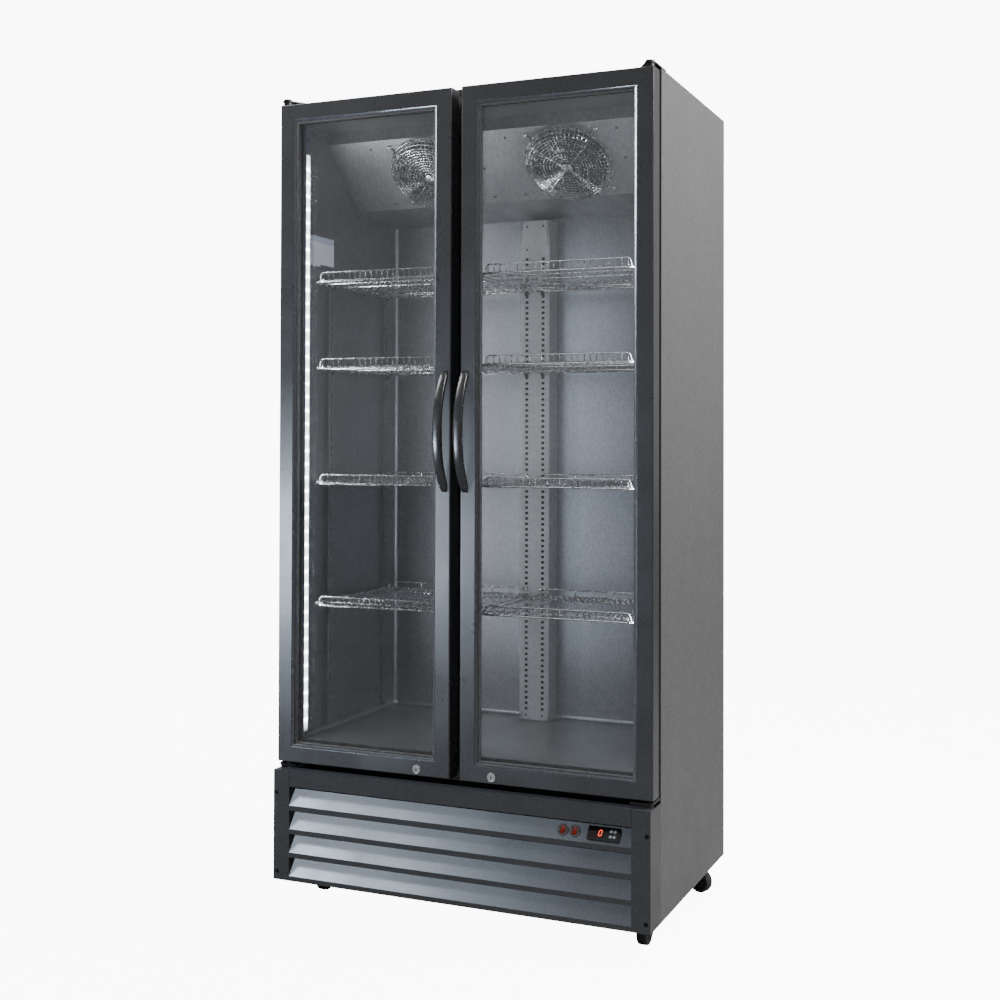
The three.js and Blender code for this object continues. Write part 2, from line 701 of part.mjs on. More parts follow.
// ---------------------------------------------------------------- cold air unit
// The slope of the evaporator cover as a matrix: X across, Y down the slope, Z out of the face,
// with its origin at the fan's centre.
function fanPlane(x) {
  const down = new THREE.Vector3(
    0,
    COVER_LOW[0] - COVER_FRONT,
    COVER_LOW[1] - COVER_DROP_Z,
  ).normalize();
  const across = new THREE.Vector3(-1, 0, 0);
  const out = new THREE.Vector3().crossVectors(across, down);
  const place = new THREE.Matrix4().makeBasis(across, down, out);
  const y = COVER_FRONT + down.y * FAN_ALONG_SLOPE;
  const z = COVER_DROP_Z + down.z * FAN_ALONG_SLOPE;
  return place.setPosition(x, y, z);
}

// A heat exchanger: upright fins on a thin back plate.
function finBlock(xs, ys, zs, fins) {
  const pieces = [box(...xs, ys[1] - 8, ys[1], ...zs)];
  const pitch = (xs[1] - xs[0] - 3) / (fins - 1);
  for (let i = 0; i < fins; i += 1) {
    const left = xs[0] + pitch * i;
    pieces.push(box(left, left + 3, ys[0], ys[1] - 4, ...zs));
  }
  return union(pieces);
}

function fanBlades(radius, hub, depth, along) {
  const pieces = [rod("z", hub, 0, depth, [0, 0], 20)];
  const blades = 5;
  for (let i = 0; i < blades; i += 1) {
    const blade = new THREE.BoxGeometry(radius - hub + 6, radius * 0.62, 2.2);
    blade.rotateX(THREE.MathUtils.degToRad(24));
    blade.translate((radius + hub - 6) / 2, 0, depth / 2);
    blade.rotateZ((2 * Math.PI * i) / blades);
    pieces.push(solidOf(blade));
  }
  const limit = rod("z", radius, -60, 60, [0, 0], 30);
  return union(pieces).intersect(limit).translate([0, 0, along]);
}

function guardSolid() {
  const sides = 20;
  const top = GUARD_STANDOFF;
  const pieces = [
    ring(GUARD_RADIUS - 4, GUARD_RADIUS, 6, 10, sides),
    ring(GUARD_RADIUS - 14, GUARD_RADIUS - 10, top - 4, top, sides),
    rod("z", 34, 4, top - 1, [0, 0], 20),
  ];
  for (let i = 0; i < 4; i += 1) {
    const spoke = box(30, GUARD_RADIUS - 10, -1.5, 1.5, top - 4, top - 0.5);
    const drop = box(GUARD_RADIUS - 13, GUARD_RADIUS - 1, -1.5, 1.5, 6.5, top - 0.5);
    const leg = box(GUARD_RADIUS - 4, GUARD_RADIUS + 24, -1.5, 1.5, GAP, 9);
    const rib = new THREE.Matrix4().makeRotationZ(Math.PI / 4 + (Math.PI * i) / 2);
    pieces.push(movedBy(union([spoke, drop, leg]), rib));
  }
  return union(pieces);
}

function buildColdUnit() {
  const bend = [
    [COVER_FRONT, CEILING - GAP],
    [COVER_FRONT, COVER_DROP_Z],
    COVER_LOW,
    [INNER_BACK - GAP, COVER_BACK_Z],
  ];
  let cover = extrudeAcross(stripOutline(bend, 1.5), -INNER_HALF + GAP, INNER_HALF - GAP);
  for (const x of [-FAN_X, FAN_X]) {
    cover = cover.subtract(movedBy(rod("z", FAN_HOLE_RADIUS, -20, 20, [0, 0], 36), fanPlane(x)));
  }
  addPart("evaporator_cover", cover, linerSilver);

  const guard = guardSolid();
  const blades = fanBlades(96, 32, 24, -30);
  for (const side of [-1, 1]) {
    const name = side < 0 ? "left" : "right";
    const mount = new THREE.Group();
    mount.applyMatrix4(fanPlane(side * FAN_X));
    cabinet.add(mount);
    addPart("fan_guard_" + name, guard, chrome, mount);
    addPart("evaporator_fan_" + name, blades, blackPlastic, mount);
  }

  const coil = finBlock([-410, 410], [415, 545], [1836, 1986], 20);
  addPart("evaporator_coil", coil, copperFins);
}

// ---------------------------------------------------------------- machine compartment
function buildMachinery() {
  // The can is a hollow shell, open underneath.
  const can = [
    [70, 0],
    [78, 0],
    [86, 8],
    [86, 96],
    [90, 100],
    [86, 106],
    [84, 140],
    [66, 168],
    [34, 180],
    [0, 182],
    [0, 150],
    [60, 140],
    [70, 120],
    [70, 0],
  ].map(([r, z]) => new THREE.Vector2(r, z));
  const dome = solidOf(new THREE.LatheGeometry(can, 20).rotateX(Math.PI / 2));
  const plate = box(-105, 105, -78, 78, -7, 2).subtract(rod("z", 40, -20, 20, [0, 0]));
  const terminal = box(-30, 30, -102, -80, 50, 110);
  const stub = rod("z", 5, 150, 210, [45, 20], 10);
  const compressor = union([dome, plate, terminal, stub]);
  addPart("compressor", compressor, blackSteel).position.set(230, 420, 90);

  const core = finBlock([-420, -80], [110, 160], [82.6, 322], 11);
  const shroud = box(-410, -90, 159, 200, 92, 318).subtract(box(-400, -100, 150, 196, 97, 313));
  const duct = rod("y", 104, 140, 220, [CONDENSER_FAN_X, CONDENSER_FAN_Z], 28);
  const motor = rod("y", 34, 214, 262, [CONDENSER_FAN_X, CONDENSER_FAN_Z], 20);
  const arms = [
    box(-370, -130, 222, 226, CONDENSER_FAN_Z - 6, CONDENSER_FAN_Z + 6),
    box(-370, -364, 196, 226, CONDENSER_FAN_Z - 6, CONDENSER_FAN_Z + 6),
    box(-136, -130, 196, 226, CONDENSER_FAN_Z - 6, CONDENSER_FAN_Z + 6),
  ];
  const condenser = union([core.subtract(duct), shroud.subtract(duct), ...arms, motor]);
  addPart("condenser", condenser, blackSteel);

  const fan = addPart("condenser_fan", fanBlades(97, 30, 26, 0), blackPlastic);
  fan.rotation.x = -Math.PI / 2;
  fan.position.set(CONDENSER_FAN_X, 178, CONDENSER_FAN_Z);
}

// ---------------------------------------------------------------- lighting
function buildLights() {
  const profile = [
    [INNER_HALF - GAP, 62.5],
    [INNER_HALF - GAP, 87],
    [INNER_HALF - 3, 87],
    [INNER_HALF - 4.5, 85.5],
    [INNER_HALF - 4.5, 64],
    [INNER_HALF - 3, 62.5],
  ];
  const strip = extrudeUp(profile, FLOOR + 3, CEILING - 4);
  addPart("led_strip_right", strip, ledWhite);
  addPart("led_strip_left", mirrored(strip), ledWhite);
}

buildShell();
buildLiner();
buildMiddleSupports();
buildGrille();
buildControls();
buildBase();
buildCasters();
for (const side of [-1, 1]) {
  buildDoor(side);
  buildHinges(side);
  SHELF_LEVELS.forEach((z, level) => {
    buildShelf("shelf_" + (side < 0 ? "left_" : "right_") + (level + 1), side, z);
  });
}
buildColdUnit();
buildMachinery();
buildLights();

export default cabinet;
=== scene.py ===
"""Looks of a two-door glass door merchandiser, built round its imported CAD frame."""

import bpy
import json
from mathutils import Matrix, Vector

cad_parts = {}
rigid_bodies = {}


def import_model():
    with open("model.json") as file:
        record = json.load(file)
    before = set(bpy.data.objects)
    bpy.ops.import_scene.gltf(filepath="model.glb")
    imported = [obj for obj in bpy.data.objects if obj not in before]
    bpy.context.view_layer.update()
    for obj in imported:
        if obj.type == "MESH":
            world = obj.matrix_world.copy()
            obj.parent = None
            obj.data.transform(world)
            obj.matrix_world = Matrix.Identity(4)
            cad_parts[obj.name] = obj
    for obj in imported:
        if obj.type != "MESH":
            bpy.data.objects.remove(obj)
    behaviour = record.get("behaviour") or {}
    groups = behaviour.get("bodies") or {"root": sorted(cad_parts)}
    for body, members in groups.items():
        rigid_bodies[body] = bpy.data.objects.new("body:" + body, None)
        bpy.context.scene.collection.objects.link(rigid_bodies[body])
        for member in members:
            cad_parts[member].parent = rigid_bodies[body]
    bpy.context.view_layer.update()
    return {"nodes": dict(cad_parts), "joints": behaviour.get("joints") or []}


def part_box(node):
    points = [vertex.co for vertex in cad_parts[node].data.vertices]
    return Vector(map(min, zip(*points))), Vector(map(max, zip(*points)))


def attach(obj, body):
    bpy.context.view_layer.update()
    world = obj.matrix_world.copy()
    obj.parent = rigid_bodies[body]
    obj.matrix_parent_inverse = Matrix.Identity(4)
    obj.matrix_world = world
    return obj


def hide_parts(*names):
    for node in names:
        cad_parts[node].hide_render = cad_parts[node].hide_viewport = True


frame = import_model()

import json
from math import cos, pi, radians, sin

import bmesh
import bpy
from mathutils import Matrix, Vector

scene = bpy.context.scene

# Pieces are drawn in millimetres, with Y = 0 on the closed doors' front plane.
DOOR_LOW, DOOR_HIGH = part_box("right_door_frame")
FRONT = DOOR_LOW[1]
SIDES = (("left", -1), ("right", 1))
SHELF_LEVELS = (760, 1075, 1375, 1600)

# The room inside the liner.
LINER_HALF = 466
LINER_FLOOR, LINER_CEILING = 413, 2010

# What the shelves hang from.
STANDARD_FRONT, STANDARD_BACK = 518, 576.5
STANDARD_COLUMN = 24
MULLION_BACK = 90
MULLION_COLUMN = 21
WALL_STANDARD_X = 456.5
WALL_STANDARD_DEPTHS = (189, 500)

# The row of controls, measured along the top louvre.
SWITCHES = (("left", 283), ("right", 312.4))
CONTROLLER_X = 385
CONTROLLER_FACE = 8.0
ROCKER_PIVOT = 2.6

# The evaporator fans' guards.
GUARD_RIM, GUARD_TOP = 114, 29


def mm(point):
    """A point of the CAD frame in the drawing's millimetres."""
    return (point[0] * 1000, (point[1] - FRONT) * 1000, point[2] * 1000)


def metres(point):
    """A point of the drawing in the CAD frame's metres."""
    return (point[0] / 1000, FRONT + point[1] / 1000, point[2] / 1000)


def joint(name):
    return next(item for item in frame["joints"] if item["name"] == name)


# ---------------- materials
class Nodes:
    """A node material in the making."""

    def __init__(self, name, color, roughness, metallic=0.0, **sockets):
        self.material = bpy.data.materials.new(name)
        self.material.use_nodes = True
        self.tree = self.material.node_tree
        self.shader = self.tree.nodes["Principled BSDF"]
        self.shader.inputs["Base Color"].default_value = (*color, 1)
        self.shader.inputs["Roughness"].default_value = roughness
        self.shader.inputs["Metallic"].default_value = metallic
        for socket, value in sockets.items():
            self.shader.inputs[socket.replace("_", " ")].default_value = value
        self.color = color
        self.roughness = roughness
        self.place = self.node("ShaderNodeTexCoord").outputs["Object"]
        self.height = None

    def node(self, kind, **values):
        made = self.tree.nodes.new(kind)
        for key, value in values.items():
            setattr(made, key, value)
        return made

    def link(self, output, target):
        self.tree.links.new(output, target)

    def math(self, operation, a, b=None, clamp=False):
        made = self.node("ShaderNodeMath", operation=operation, use_clamp=clamp)
        for socket, value in zip(made.inputs, (a, b)):
            if isinstance(value, (int, float)):
                socket.default_value = value
            elif value is not None:
                self.link(value, socket)
        return made.outputs[0]

    def noise(self, size, stretch=(1, 1, 1), detail=3.0):
        """Noise whose features are about size millimetres, longer along the axes with small stretch."""
        mapping = self.node("ShaderNodeMapping")
        mapping.inputs["Scale"].default_value = stretch
        self.link(self.place, mapping.inputs["Vector"])
        made = self.node("ShaderNodeTexNoise")
        made.inputs["Scale"].default_value = 1000 / size
        made.inputs["Detail"].default_value = detail
        made.inputs["Roughness"].default_value = 0.55
        self.link(mapping.outputs[0], made.inputs["Vector"])
        return made.outputs["Fac"]

    def spread(self, value, low, high, out_low=0.0, out_high=1.0):
        made = self.node("ShaderNodeMapRange", clamp=True)
        for socket, number in zip(list(made.inputs)[1:5], (low, high, out_low, out_high)):
            socket.default_value = number
        self.link(value, made.inputs["Value"])
        return made.outputs[0]

    def tint(self, factor, color):
        """Mixes color in where factor is high."""
        made = self.node("ShaderNodeMix", data_type="RGBA")
        self.link(factor, made.inputs["Factor"])
        socket = self.shader.inputs["Base Color"]
        if socket.is_linked:
            self.link(socket.links[0].from_socket, made.inputs["A"])
        else:
            made.inputs["A"].default_value = (*self.color, 1)
        made.inputs["B"].default_value = (*color, 1)
        self.link(made.outputs["Result"], socket)
        return self

    def grain(self, size, amount, stretch=(1, 1, 1)):
        """Fine light and dark specks."""
        value = self.noise(size, stretch, detail=2)
        dark = [c * (1 - amount) for c in self.color]
        light = [min(1, c * (1 + amount)) for c in self.color]
        self.tint(self.spread(value, 0.52, 0.3), dark)
        self.tint(self.spread(value, 0.5, 0.68), light)
        return self

    def smudges(self, size, amount, stretch=(1, 1, 1)):
        """Roughness that varies in soft patches."""
        value = self.noise(size, stretch, detail=4)
        low = max(0.02, self.roughness - amount)
        patches = self.spread(value, 0.35, 0.68, low, self.roughness + amount)
        self.link(patches, self.shader.inputs["Roughness"])
        return self

    def patches(self, size, low, high, share, color):
        """Soft patches of another color, up to share of it where noise runs from low to high."""
        return self.tint(self.spread(self.noise(size), low, high, 0, share), color)

    def bump(self, value, depth):
        """Adds value as relief, depth millimetres deep."""
        made = self.node("ShaderNodeBump")
        made.inputs["Distance"].default_value = depth / 1000
        self.link(value, made.inputs["Height"])
        if self.height is not None:
            self.link(self.height, made.inputs["Normal"])
        self.height = made.outputs[0]
        self.link(self.height, self.shader.inputs["Normal"])
        return self

    def along(self, axis):
        """The coordinate along an axis, in metres."""
        made = self.node("ShaderNodeSeparateXYZ")
        self.link(self.place, made.inputs[0])
        return made.outputs[axis]


def powder_coat(name, color, roughness, speck, amount, gloss):
    made = Nodes(name, color, roughness)
    made.shader.inputs["Specular IOR Level"].default_value = gloss
    made.grain(speck, amount).smudges(160, 0.05)
    made.bump(made.noise(5, detail=2), 0.04)
    return made


def finish_of(name, color, roughness, metallic, speck, smudge, relief, **sockets):
    """A finish. speck, smudge and relief are (size, amount) and maybe a stretch; two may be None."""
    made = Nodes(name, color, roughness, metallic, **sockets)
    if speck:
        made.grain(*speck)
    if smudge:
        made.smudges(*smudge)
    size, depth, *stretch = relief
    made.bump(made.noise(size, *stretch), depth)
    return made


def make_metals(made):
    tall, wide = (1, 1, 0.4), (1, 0.2, 0.2)
    made["liner"] = finish_of(
        "liner_aluminium", (0.17, 0.173, 0.182), 0.36, 0.8,
        (4.5, 0.14, (1, 1, 0.6)), (220, 0.06, tall), (160, 0.25),
    )
    made["stucco"] = finish_of(
        "brushed_aluminium", (0.22, 0.222, 0.23), 0.4, 0.7,
        (3, 0.16, wide), (60, 0.08, wide), (6, 0.03, (1, 0.15, 0.15)),
    )

    zinc = finish_of("galvanised_steel", (0.33, 0.335, 0.35), 0.55, 0.5, None, (30, 0.1), (2.5, 0.03))
    spangle = zinc.node("ShaderNodeTexVoronoi")
    spangle.inputs["Scale"].default_value = 90
    zinc.link(zinc.place, spangle.inputs["Vector"])
    zinc.tint(zinc.spread(spangle.outputs["Distance"], 0.2, 0.7, 0, 0.55), (0.25, 0.255, 0.27))
    made["zinc"] = zinc

    for key, name, level in (("chrome", "lock_chrome", 0.8), ("wire", "chrome_wire", 0.44)):
        color = (level, level * 1.01, level * 1.04)
        dull = (level * 0.75, level * 0.74, level * 0.73)
        made[key] = finish_of(name, color, 0.26, 0.95, None, (12, 0.08), (1.5, 0.02))
        made[key].patches(9, 0.45, 0.75, 0.5, dull)

    made["spacer"] = finish_of(
        "glazing_spacer", (0.2, 0.2, 0.21), 0.4, 0.6, (2, 0.2), (30, 0.1), (2, 0.02)
    ).patches(15, 0.45, 0.75, 0.5, (0.14, 0.14, 0.15))
    made["steel"] = finish_of(
        "black_steel", (0.03, 0.03, 0.032), 0.4, 0.5, (1.0, 0.35), (18, 0.12), (1.4, 0.04)
    ).patches(7, 0.66, 0.8, 0.6, (0.12, 0.115, 0.11))

    fins = Nodes("coil_fins", (0.5, 0.5, 0.5), 0.4, 0.85)
    fins_per_metre = 400
    # Painted shade: the darker half of each stripe stands for the shade in the gaps between the fins; the
    # same stripes give the fins' relief.
    fin_relief_and_gap_shade = fins.math("SINE", fins.math("MULTIPLY", fins.along(0), 2 * pi * fins_per_metre))
    fins.tint(fins.spread(fin_relief_and_gap_shade, -0.2, 0.8), (0.2, 0.2, 0.2))
    fins.smudges(20, 0.1)
    fins.bump(fin_relief_and_gap_shade, 0.3)
    made["fins"] = fins


def make_plastics(made):
    made["bead"] = finish_of(
        "glazing_bead", (0.05, 0.051, 0.056), 0.24, 0, (2.5, 0.25), (40, 0.06), (3, 0.02),
        Coat_Weight=0.6, Coat_Roughness=0.2,
    )
    made["gloss"] = finish_of(
        "gloss_black_plastic", (0.012, 0.012, 0.013), 0.3, 0, None, (18, 0.07), (1.1, 0.015),
        Coat_Weight=0.3, Coat_Roughness=0.2,
    ).patches(25, 0.5, 0.8, 0.5, (0.024, 0.024, 0.027))
    made["matt"] = finish_of(
        "matt_black_plastic", (0.022, 0.022, 0.023), 0.55, 0, (0.9, 0.4), (20, 0.1), (0.8, 0.04)
    )
    made["rubber"] = finish_of(
        "black_rubber", (0.014, 0.014, 0.015), 0.72, 0, (1.2, 0.4), (15, 0.12), (0.9, 0.05)
    )
    made["pitch"] = finish_of(
        "deep_black", (0.004, 0.004, 0.004), 0.8, 0, (1.5, 0.4), (15, 0.1), (1.0, 0.03),
        Specular_IOR_Level=0.15,
    )
    made["white"] = finish_of(
        "white_plastic", (0.62, 0.66, 0.68), 0.35, 0, (0.7, 0.06), (5, 0.08), (0.7, 0.01)
    )
    made["red"] = finish_of(
        "red_plastic", (0.55, 0.045, 0.03), 0.22, 0, None, (5, 0.06), (0.8, 0.01), Coat_Weight=0.4
    ).patches(6, 0.4, 0.7, 0.6, (0.75, 0.12, 0.08))
    made["smoke"] = finish_of(
        "clear_bezel", (0.2, 0.19, 0.195), 0.18, 0, None, (6, 0.06), (1.2, 0.015), Coat_Weight=0.6
    ).patches(5, 0.4, 0.7, 0.6, (0.12, 0.085, 0.085))
    made["window"] = finish_of(
        "display_window", (0.02, 0.006, 0.007), 0.12, 0, None, (8, 0.05), (3, 0.005)
    ).patches(6, 0.45, 0.8, 0.5, (0.035, 0.012, 0.012))
    made["foam"] = finish_of("foam", (0.72, 0.6, 0.32), 0.9, 0, (1.5, 0.15), None, (1.2, 0.3))

    # A darker band runs along the top of the larger card.
    card = finish_of("card", (0.86, 0.88, 0.97), 0.5, 0, (0.8, 0.05), (12, 0.08), (0.7, 0.02))
    card.tint(card.spread(card.along(2), 1.7115, 1.7125, 0, 0.75), (0.5, 0.56, 0.72))
    made["card"] = card


def make_lit(made):
    """The digit, the LED strips and the glass."""
    digit = finish_of("display_digit", (0.9, 0.06, 0.03), 0.4, 0, None, None, (0.6, 0.005))
    digit.shader.inputs["Emission Color"].default_value = (1.0, 0.09, 0.04, 1)
    digit.link(digit.spread(digit.noise(1.5), 0.3, 0.7, 1.8, 2.4), digit.shader.inputs["Emission Strength"])
    made["digit"] = digit

    made["channel"] = finish_of(
        "led_channel", (0.2, 0.17, 0.32), 0.35, 0.4, (2.2, 0.2, (1, 1, 0.1)), (30, 0.08), (1.5, 0.02)
    )

    # Painted light: the board glows round each LED, a painted pool of the LEDs' light on it, and fades out at
    # both ends of the row.
    first, apart = 0.4425, 0.035
    board = finish_of("led_board", (0.3, 0.28, 0.42), 0.4, 0, (1.5, 0.1), (15, 0.1), (2, 0.02))
    count = board.math("DIVIDE", board.math("SUBTRACT", board.along(2), first), apart)
    offset = board.math("SUBTRACT", board.math("FRACT", count), 0.5)
    away = board.math("MULTIPLY", board.math("ABSOLUTE", offset), 2.0)
    near = board.math("SUBTRACT", 1.0, away, clamp=True)
    painted_led_glow = board.math("ADD", board.math("MULTIPLY", board.math("POWER", near, 4.0), 12.0), 4.0)
    upper = board.spread(board.along(2), 1.905, 1.935, 1, 0)
    lower = board.spread(board.along(2), 0.43, 0.452, 0, 1)
    strength = board.math("MULTIPLY", painted_led_glow, board.math("MULTIPLY", upper, lower))
    board.shader.inputs["Emission Color"].default_value = (0.93, 0.96, 1.0, 1)
    board.link(strength, board.shader.inputs["Emission Strength"])
    board.material.cycles.emission_sampling = "NONE"
    made["board"] = board

    lens = finish_of("led_lamp", (0.9, 0.92, 0.95), 0.3, 0, None, None, (1, 0.005))
    lens.shader.inputs["Emission Color"].default_value = (0.95, 0.98, 1.0, 1)
    lens.link(lens.spread(lens.noise(2), 0.3, 0.7, 26, 30), lens.shader.inputs["Emission Strength"])
    lens.material.cycles.emission_sampling = "NONE"
    made["lamp"] = lens

    # Clear where it reflects nothing: its alpha is the share of light that it reflects, and a thin film.
    glass = Nodes("door_glass", (0.93, 0.96, 0.97), 0.02, 1.0)
    fresnel = glass.node("ShaderNodeFresnel")
    fresnel.inputs["IOR"].default_value = 1.45
    film = glass.spread(glass.noise(90, (1, 1, 0.5), detail=5), 0.45, 0.8, 0.0, 0.012)
    mirror = glass.math("MULTIPLY", fresnel.outputs[0], 0.7)
    glass.link(glass.math("ADD", mirror, film, clamp=True), glass.shader.inputs["Alpha"])
    glass.smudges(70, 0.015)
    made["glass"] = glass


def make_materials():
    made = {}
    made["skin"] = powder_coat("cabinet_skin", (0.085, 0.084, 0.085), 0.5, 2.4, 0.42, 0.3)
    made["skin"].patches(420, 0.5, 0.85, 0.35, (0.1, 0.1, 0.102))
    made["door"] = powder_coat("door_paint", (0.028, 0.028, 0.0292), 0.3, 2.2, 0.48, 0.5)
    made["grille"] = powder_coat("grille_paint", (0.03, 0.03, 0.031), 0.35, 2.2, 0.48, 0.5)
    make_metals(made)
    make_plastics(made)
    make_lit(made)
    return {key: value.material for key, value in made.items()}


MATERIALS = make_materials()


def dress(material, *nodes, bevel=0.0):
    """Gives CAD nodes a material, and soft edges where bevel is in millimetres."""
    for node in nodes:
        obj = frame["nodes"][node]
        obj.data.materials.clear()
        obj.data.materials.append(MATERIALS[material])
        if bevel:
            soften(obj, bevel)


def soften(obj, width):
    made = obj.modifiers.new("edges", "BEVEL")
    made.width = width / 1000
    made.segments = 2
    made.limit_method = "ANGLE"
    made.angle_limit = radians(40)
    made.harden_normals = True


# ---------------- drawing
class Shape:
    """Points in millimetres and the faces on them, each face with a material number."""

    def __init__(self, matrix=None):
        self.points = []
        self.faces = []
        self.slots = []
        self.matrix = matrix

    def add(self, points, faces, slot=0):
        start = len(self.points)
        points = [Vector(p) for p in points]
        if self.matrix is not None:
            points = [self.matrix @ p for p in points]
        self.points += points
        self.faces += [tuple(start + i for i in face) for face in faces]
        self.slots += [slot] * len(faces)

    def rings(self, rings, slot=0, closed=False, caps=True):
        """A skin over rings with the same number of points."""
        n = len(rings[0])
        faces = []
        spans = len(rings) if closed else len(rings) - 1
        for i in range(spans):
            a = i * n
            b = (i + 1) % len(rings) * n
            faces += [(a + j, a + (j + 1) % n, b + (j + 1) % n, b + j) for j in range(n)]
        if caps and not closed:
            faces += [tuple(reversed(range(n))), tuple(range((len(rings) - 1) * n, len(rings) * n))]
        self.add([p for ring in rings for p in ring], faces, slot)

    def box(self, x, y, z, slot=0):
        ring = [(x[0], y[0]), (x[1], y[0]), (x[1], y[1]), (x[0], y[1])]
        self.rings([[(a, b, h) for a, b in ring] for h in z], slot)

    def tube(self, path, radius, sides=8, closed=False):
        """A round bar along a path."""
        path = [Vector(p) for p in path]
        n = len(path)
        rings = []
        side = None
        for i, point in enumerate(path):
            if closed:
                ahead, behind = path[(i + 1) % n], path[i - 1]
            else:
                ahead, behind = path[min(i + 1, n - 1)], path[max(i - 1, 0)]
            way = (ahead - behind).normalized()
            if side is None:
                side = way.orthogonal().normalized()
            side = (side - way * side.dot(way)).normalized()
            other = way.cross(side)
            rings.append([point + (side * cos(t) + other * sin(t)) * radius for t in turns_of(sides)])
        self.rings(rings, closed=closed)

    def lathe(self, profile, centre, axis="z", sides=32, slot=0):
        """A turned shape: profile is (radius, distance along the axis from the centre)."""
        rings = []
        for r, h in profile:
            ring = []
            for t in turns_of(sides):
                a, b = r * cos(t), r * sin(t)
                offset = {"x": (h, a, b), "y": (a, h, b), "z": (a, b, h)}[axis]
                ring.append(Vector(centre) + Vector(offset))
            rings.append(ring)
        self.rings(rings, slot)


def piece(name, shape, body, materials, replaces=(), bevel=0.0, sharp=35, thick=0.0):
    """Makes a piece that rides on body. sharp is in degrees, bevel and thick in millimetres."""
    mesh = bpy.data.meshes.new(name)
    mesh.from_pydata([metres(p) for p in shape.points], [], shape.faces)
    for face, index in zip(mesh.polygons, shape.slots):
        face.material_index = index
        face.use_smooth = True
    for key in materials:
        mesh.materials.append(MATERIALS[key])
    work = bmesh.new()
    work.from_mesh(mesh)
    bmesh.ops.recalc_face_normals(work, faces=work.faces)
    work.to_mesh(mesh)
    work.free()
    mesh.set_sharp_from_angle(angle=radians(sharp))
    obj = bpy.data.objects.new(name, mesh)
    scene.collection.objects.link(obj)
    if thick:
        skin = obj.modifiers.new("thickness", "SOLIDIFY")
        skin.thickness = thick / 1000
        skin.offset = -1
    if bevel:
        soften(obj, bevel)
    weighted = obj.modifiers.new("normals", "WEIGHTED_NORMAL")
    weighted.weight = 100
    weighted.keep_sharp = True
    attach(obj, body)
    if replaces:
        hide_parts(*replaces)
    return obj


def weld_first(obj):
    """Joins the edges of separate sheets before they are made thick."""
    weld = obj.modifiers.new("weld", "WELD")
    weld.merge_threshold = 0.0002
    obj.modifiers.move(len(obj.modifiers) - 1, 0)


def turns_of(n):
    """The angles of n even steps round a circle."""
    return [2 * pi * k / n for k in range(n)]


def circle(radius, height, steps=48):
    return [(radius * cos(t), radius * sin(t), height) for t in turns_of(steps)]


def arc(centre, radius, start, end, steps):
    """Points of an arc in a plane, from angle to angle in degrees."""
    turns = [radians(start + (end - start) * i / steps) for i in range(steps + 1)]
    return [(centre[0] + radius * cos(t), centre[1] + radius * sin(t)) for t in turns]


def perforated(shape, x, z, columns, hole, rows, place):
    """A flat strip with rows of oblong holes: place turns (across, up) into a point."""
    xs = [x[0]]
    for column in columns:
        xs += [column - hole[0] / 2, column + hole[0] / 2]
    xs.append(x[1])
    zs = [z[0]]
    for row in rows:
        zs += [row - hole[1] / 2, row + hole[1] / 2]
    zs.append(z[1])
    n = len(xs)
    faces = []
    for j in range(len(zs) - 1):
        for i in range(n - 1):
            if i % 2 == 1 and j % 2 == 1:
                continue
            a = j * n + i
            faces.append((a, a + 1, a + 1 + n, a + n))
    shape.add([place(a, b) for b in zs for a in xs], faces)


def screw(shape, centre, out, radius, slot=0):
    """A domed screw whose head faces out."""
    out = Vector(out).normalized()
    spin = out.to_track_quat("Z", "Y").to_matrix().to_4x4()
    local = Shape(Matrix.Translation(Vector(centre)) @ spin)
    profile = [(0.8, -1.5), (1, -0.5), (1, 0.5), (0.86, 1.3), (0.45, 1.9)]
    local.lathe([(radius * share, h) for share, h in profile], (0, 0, 0), "z", 18)
    shape.add(local.points, local.faces, slot)


# ---------------- doors
def mitred(s, x, z, profile, meeting=lambda inset: inset):
    """A frame round a door. profile is (inset, y), and meeting gives the inset beside the other door."""
    rings = []
    for inset, y in profile:
        x0, x1 = sorted((s * (x[0] + meeting(inset)), s * (x[1] - inset)))
        z0, z1 = z[0] + inset, z[1] - inset
        rings.append([(x0, y, z0), (x1, y, z0), (x1, y, z1), (x0, y, z1)])
    shape = Shape()
    shape.rings(rings, closed=True)
    return shape


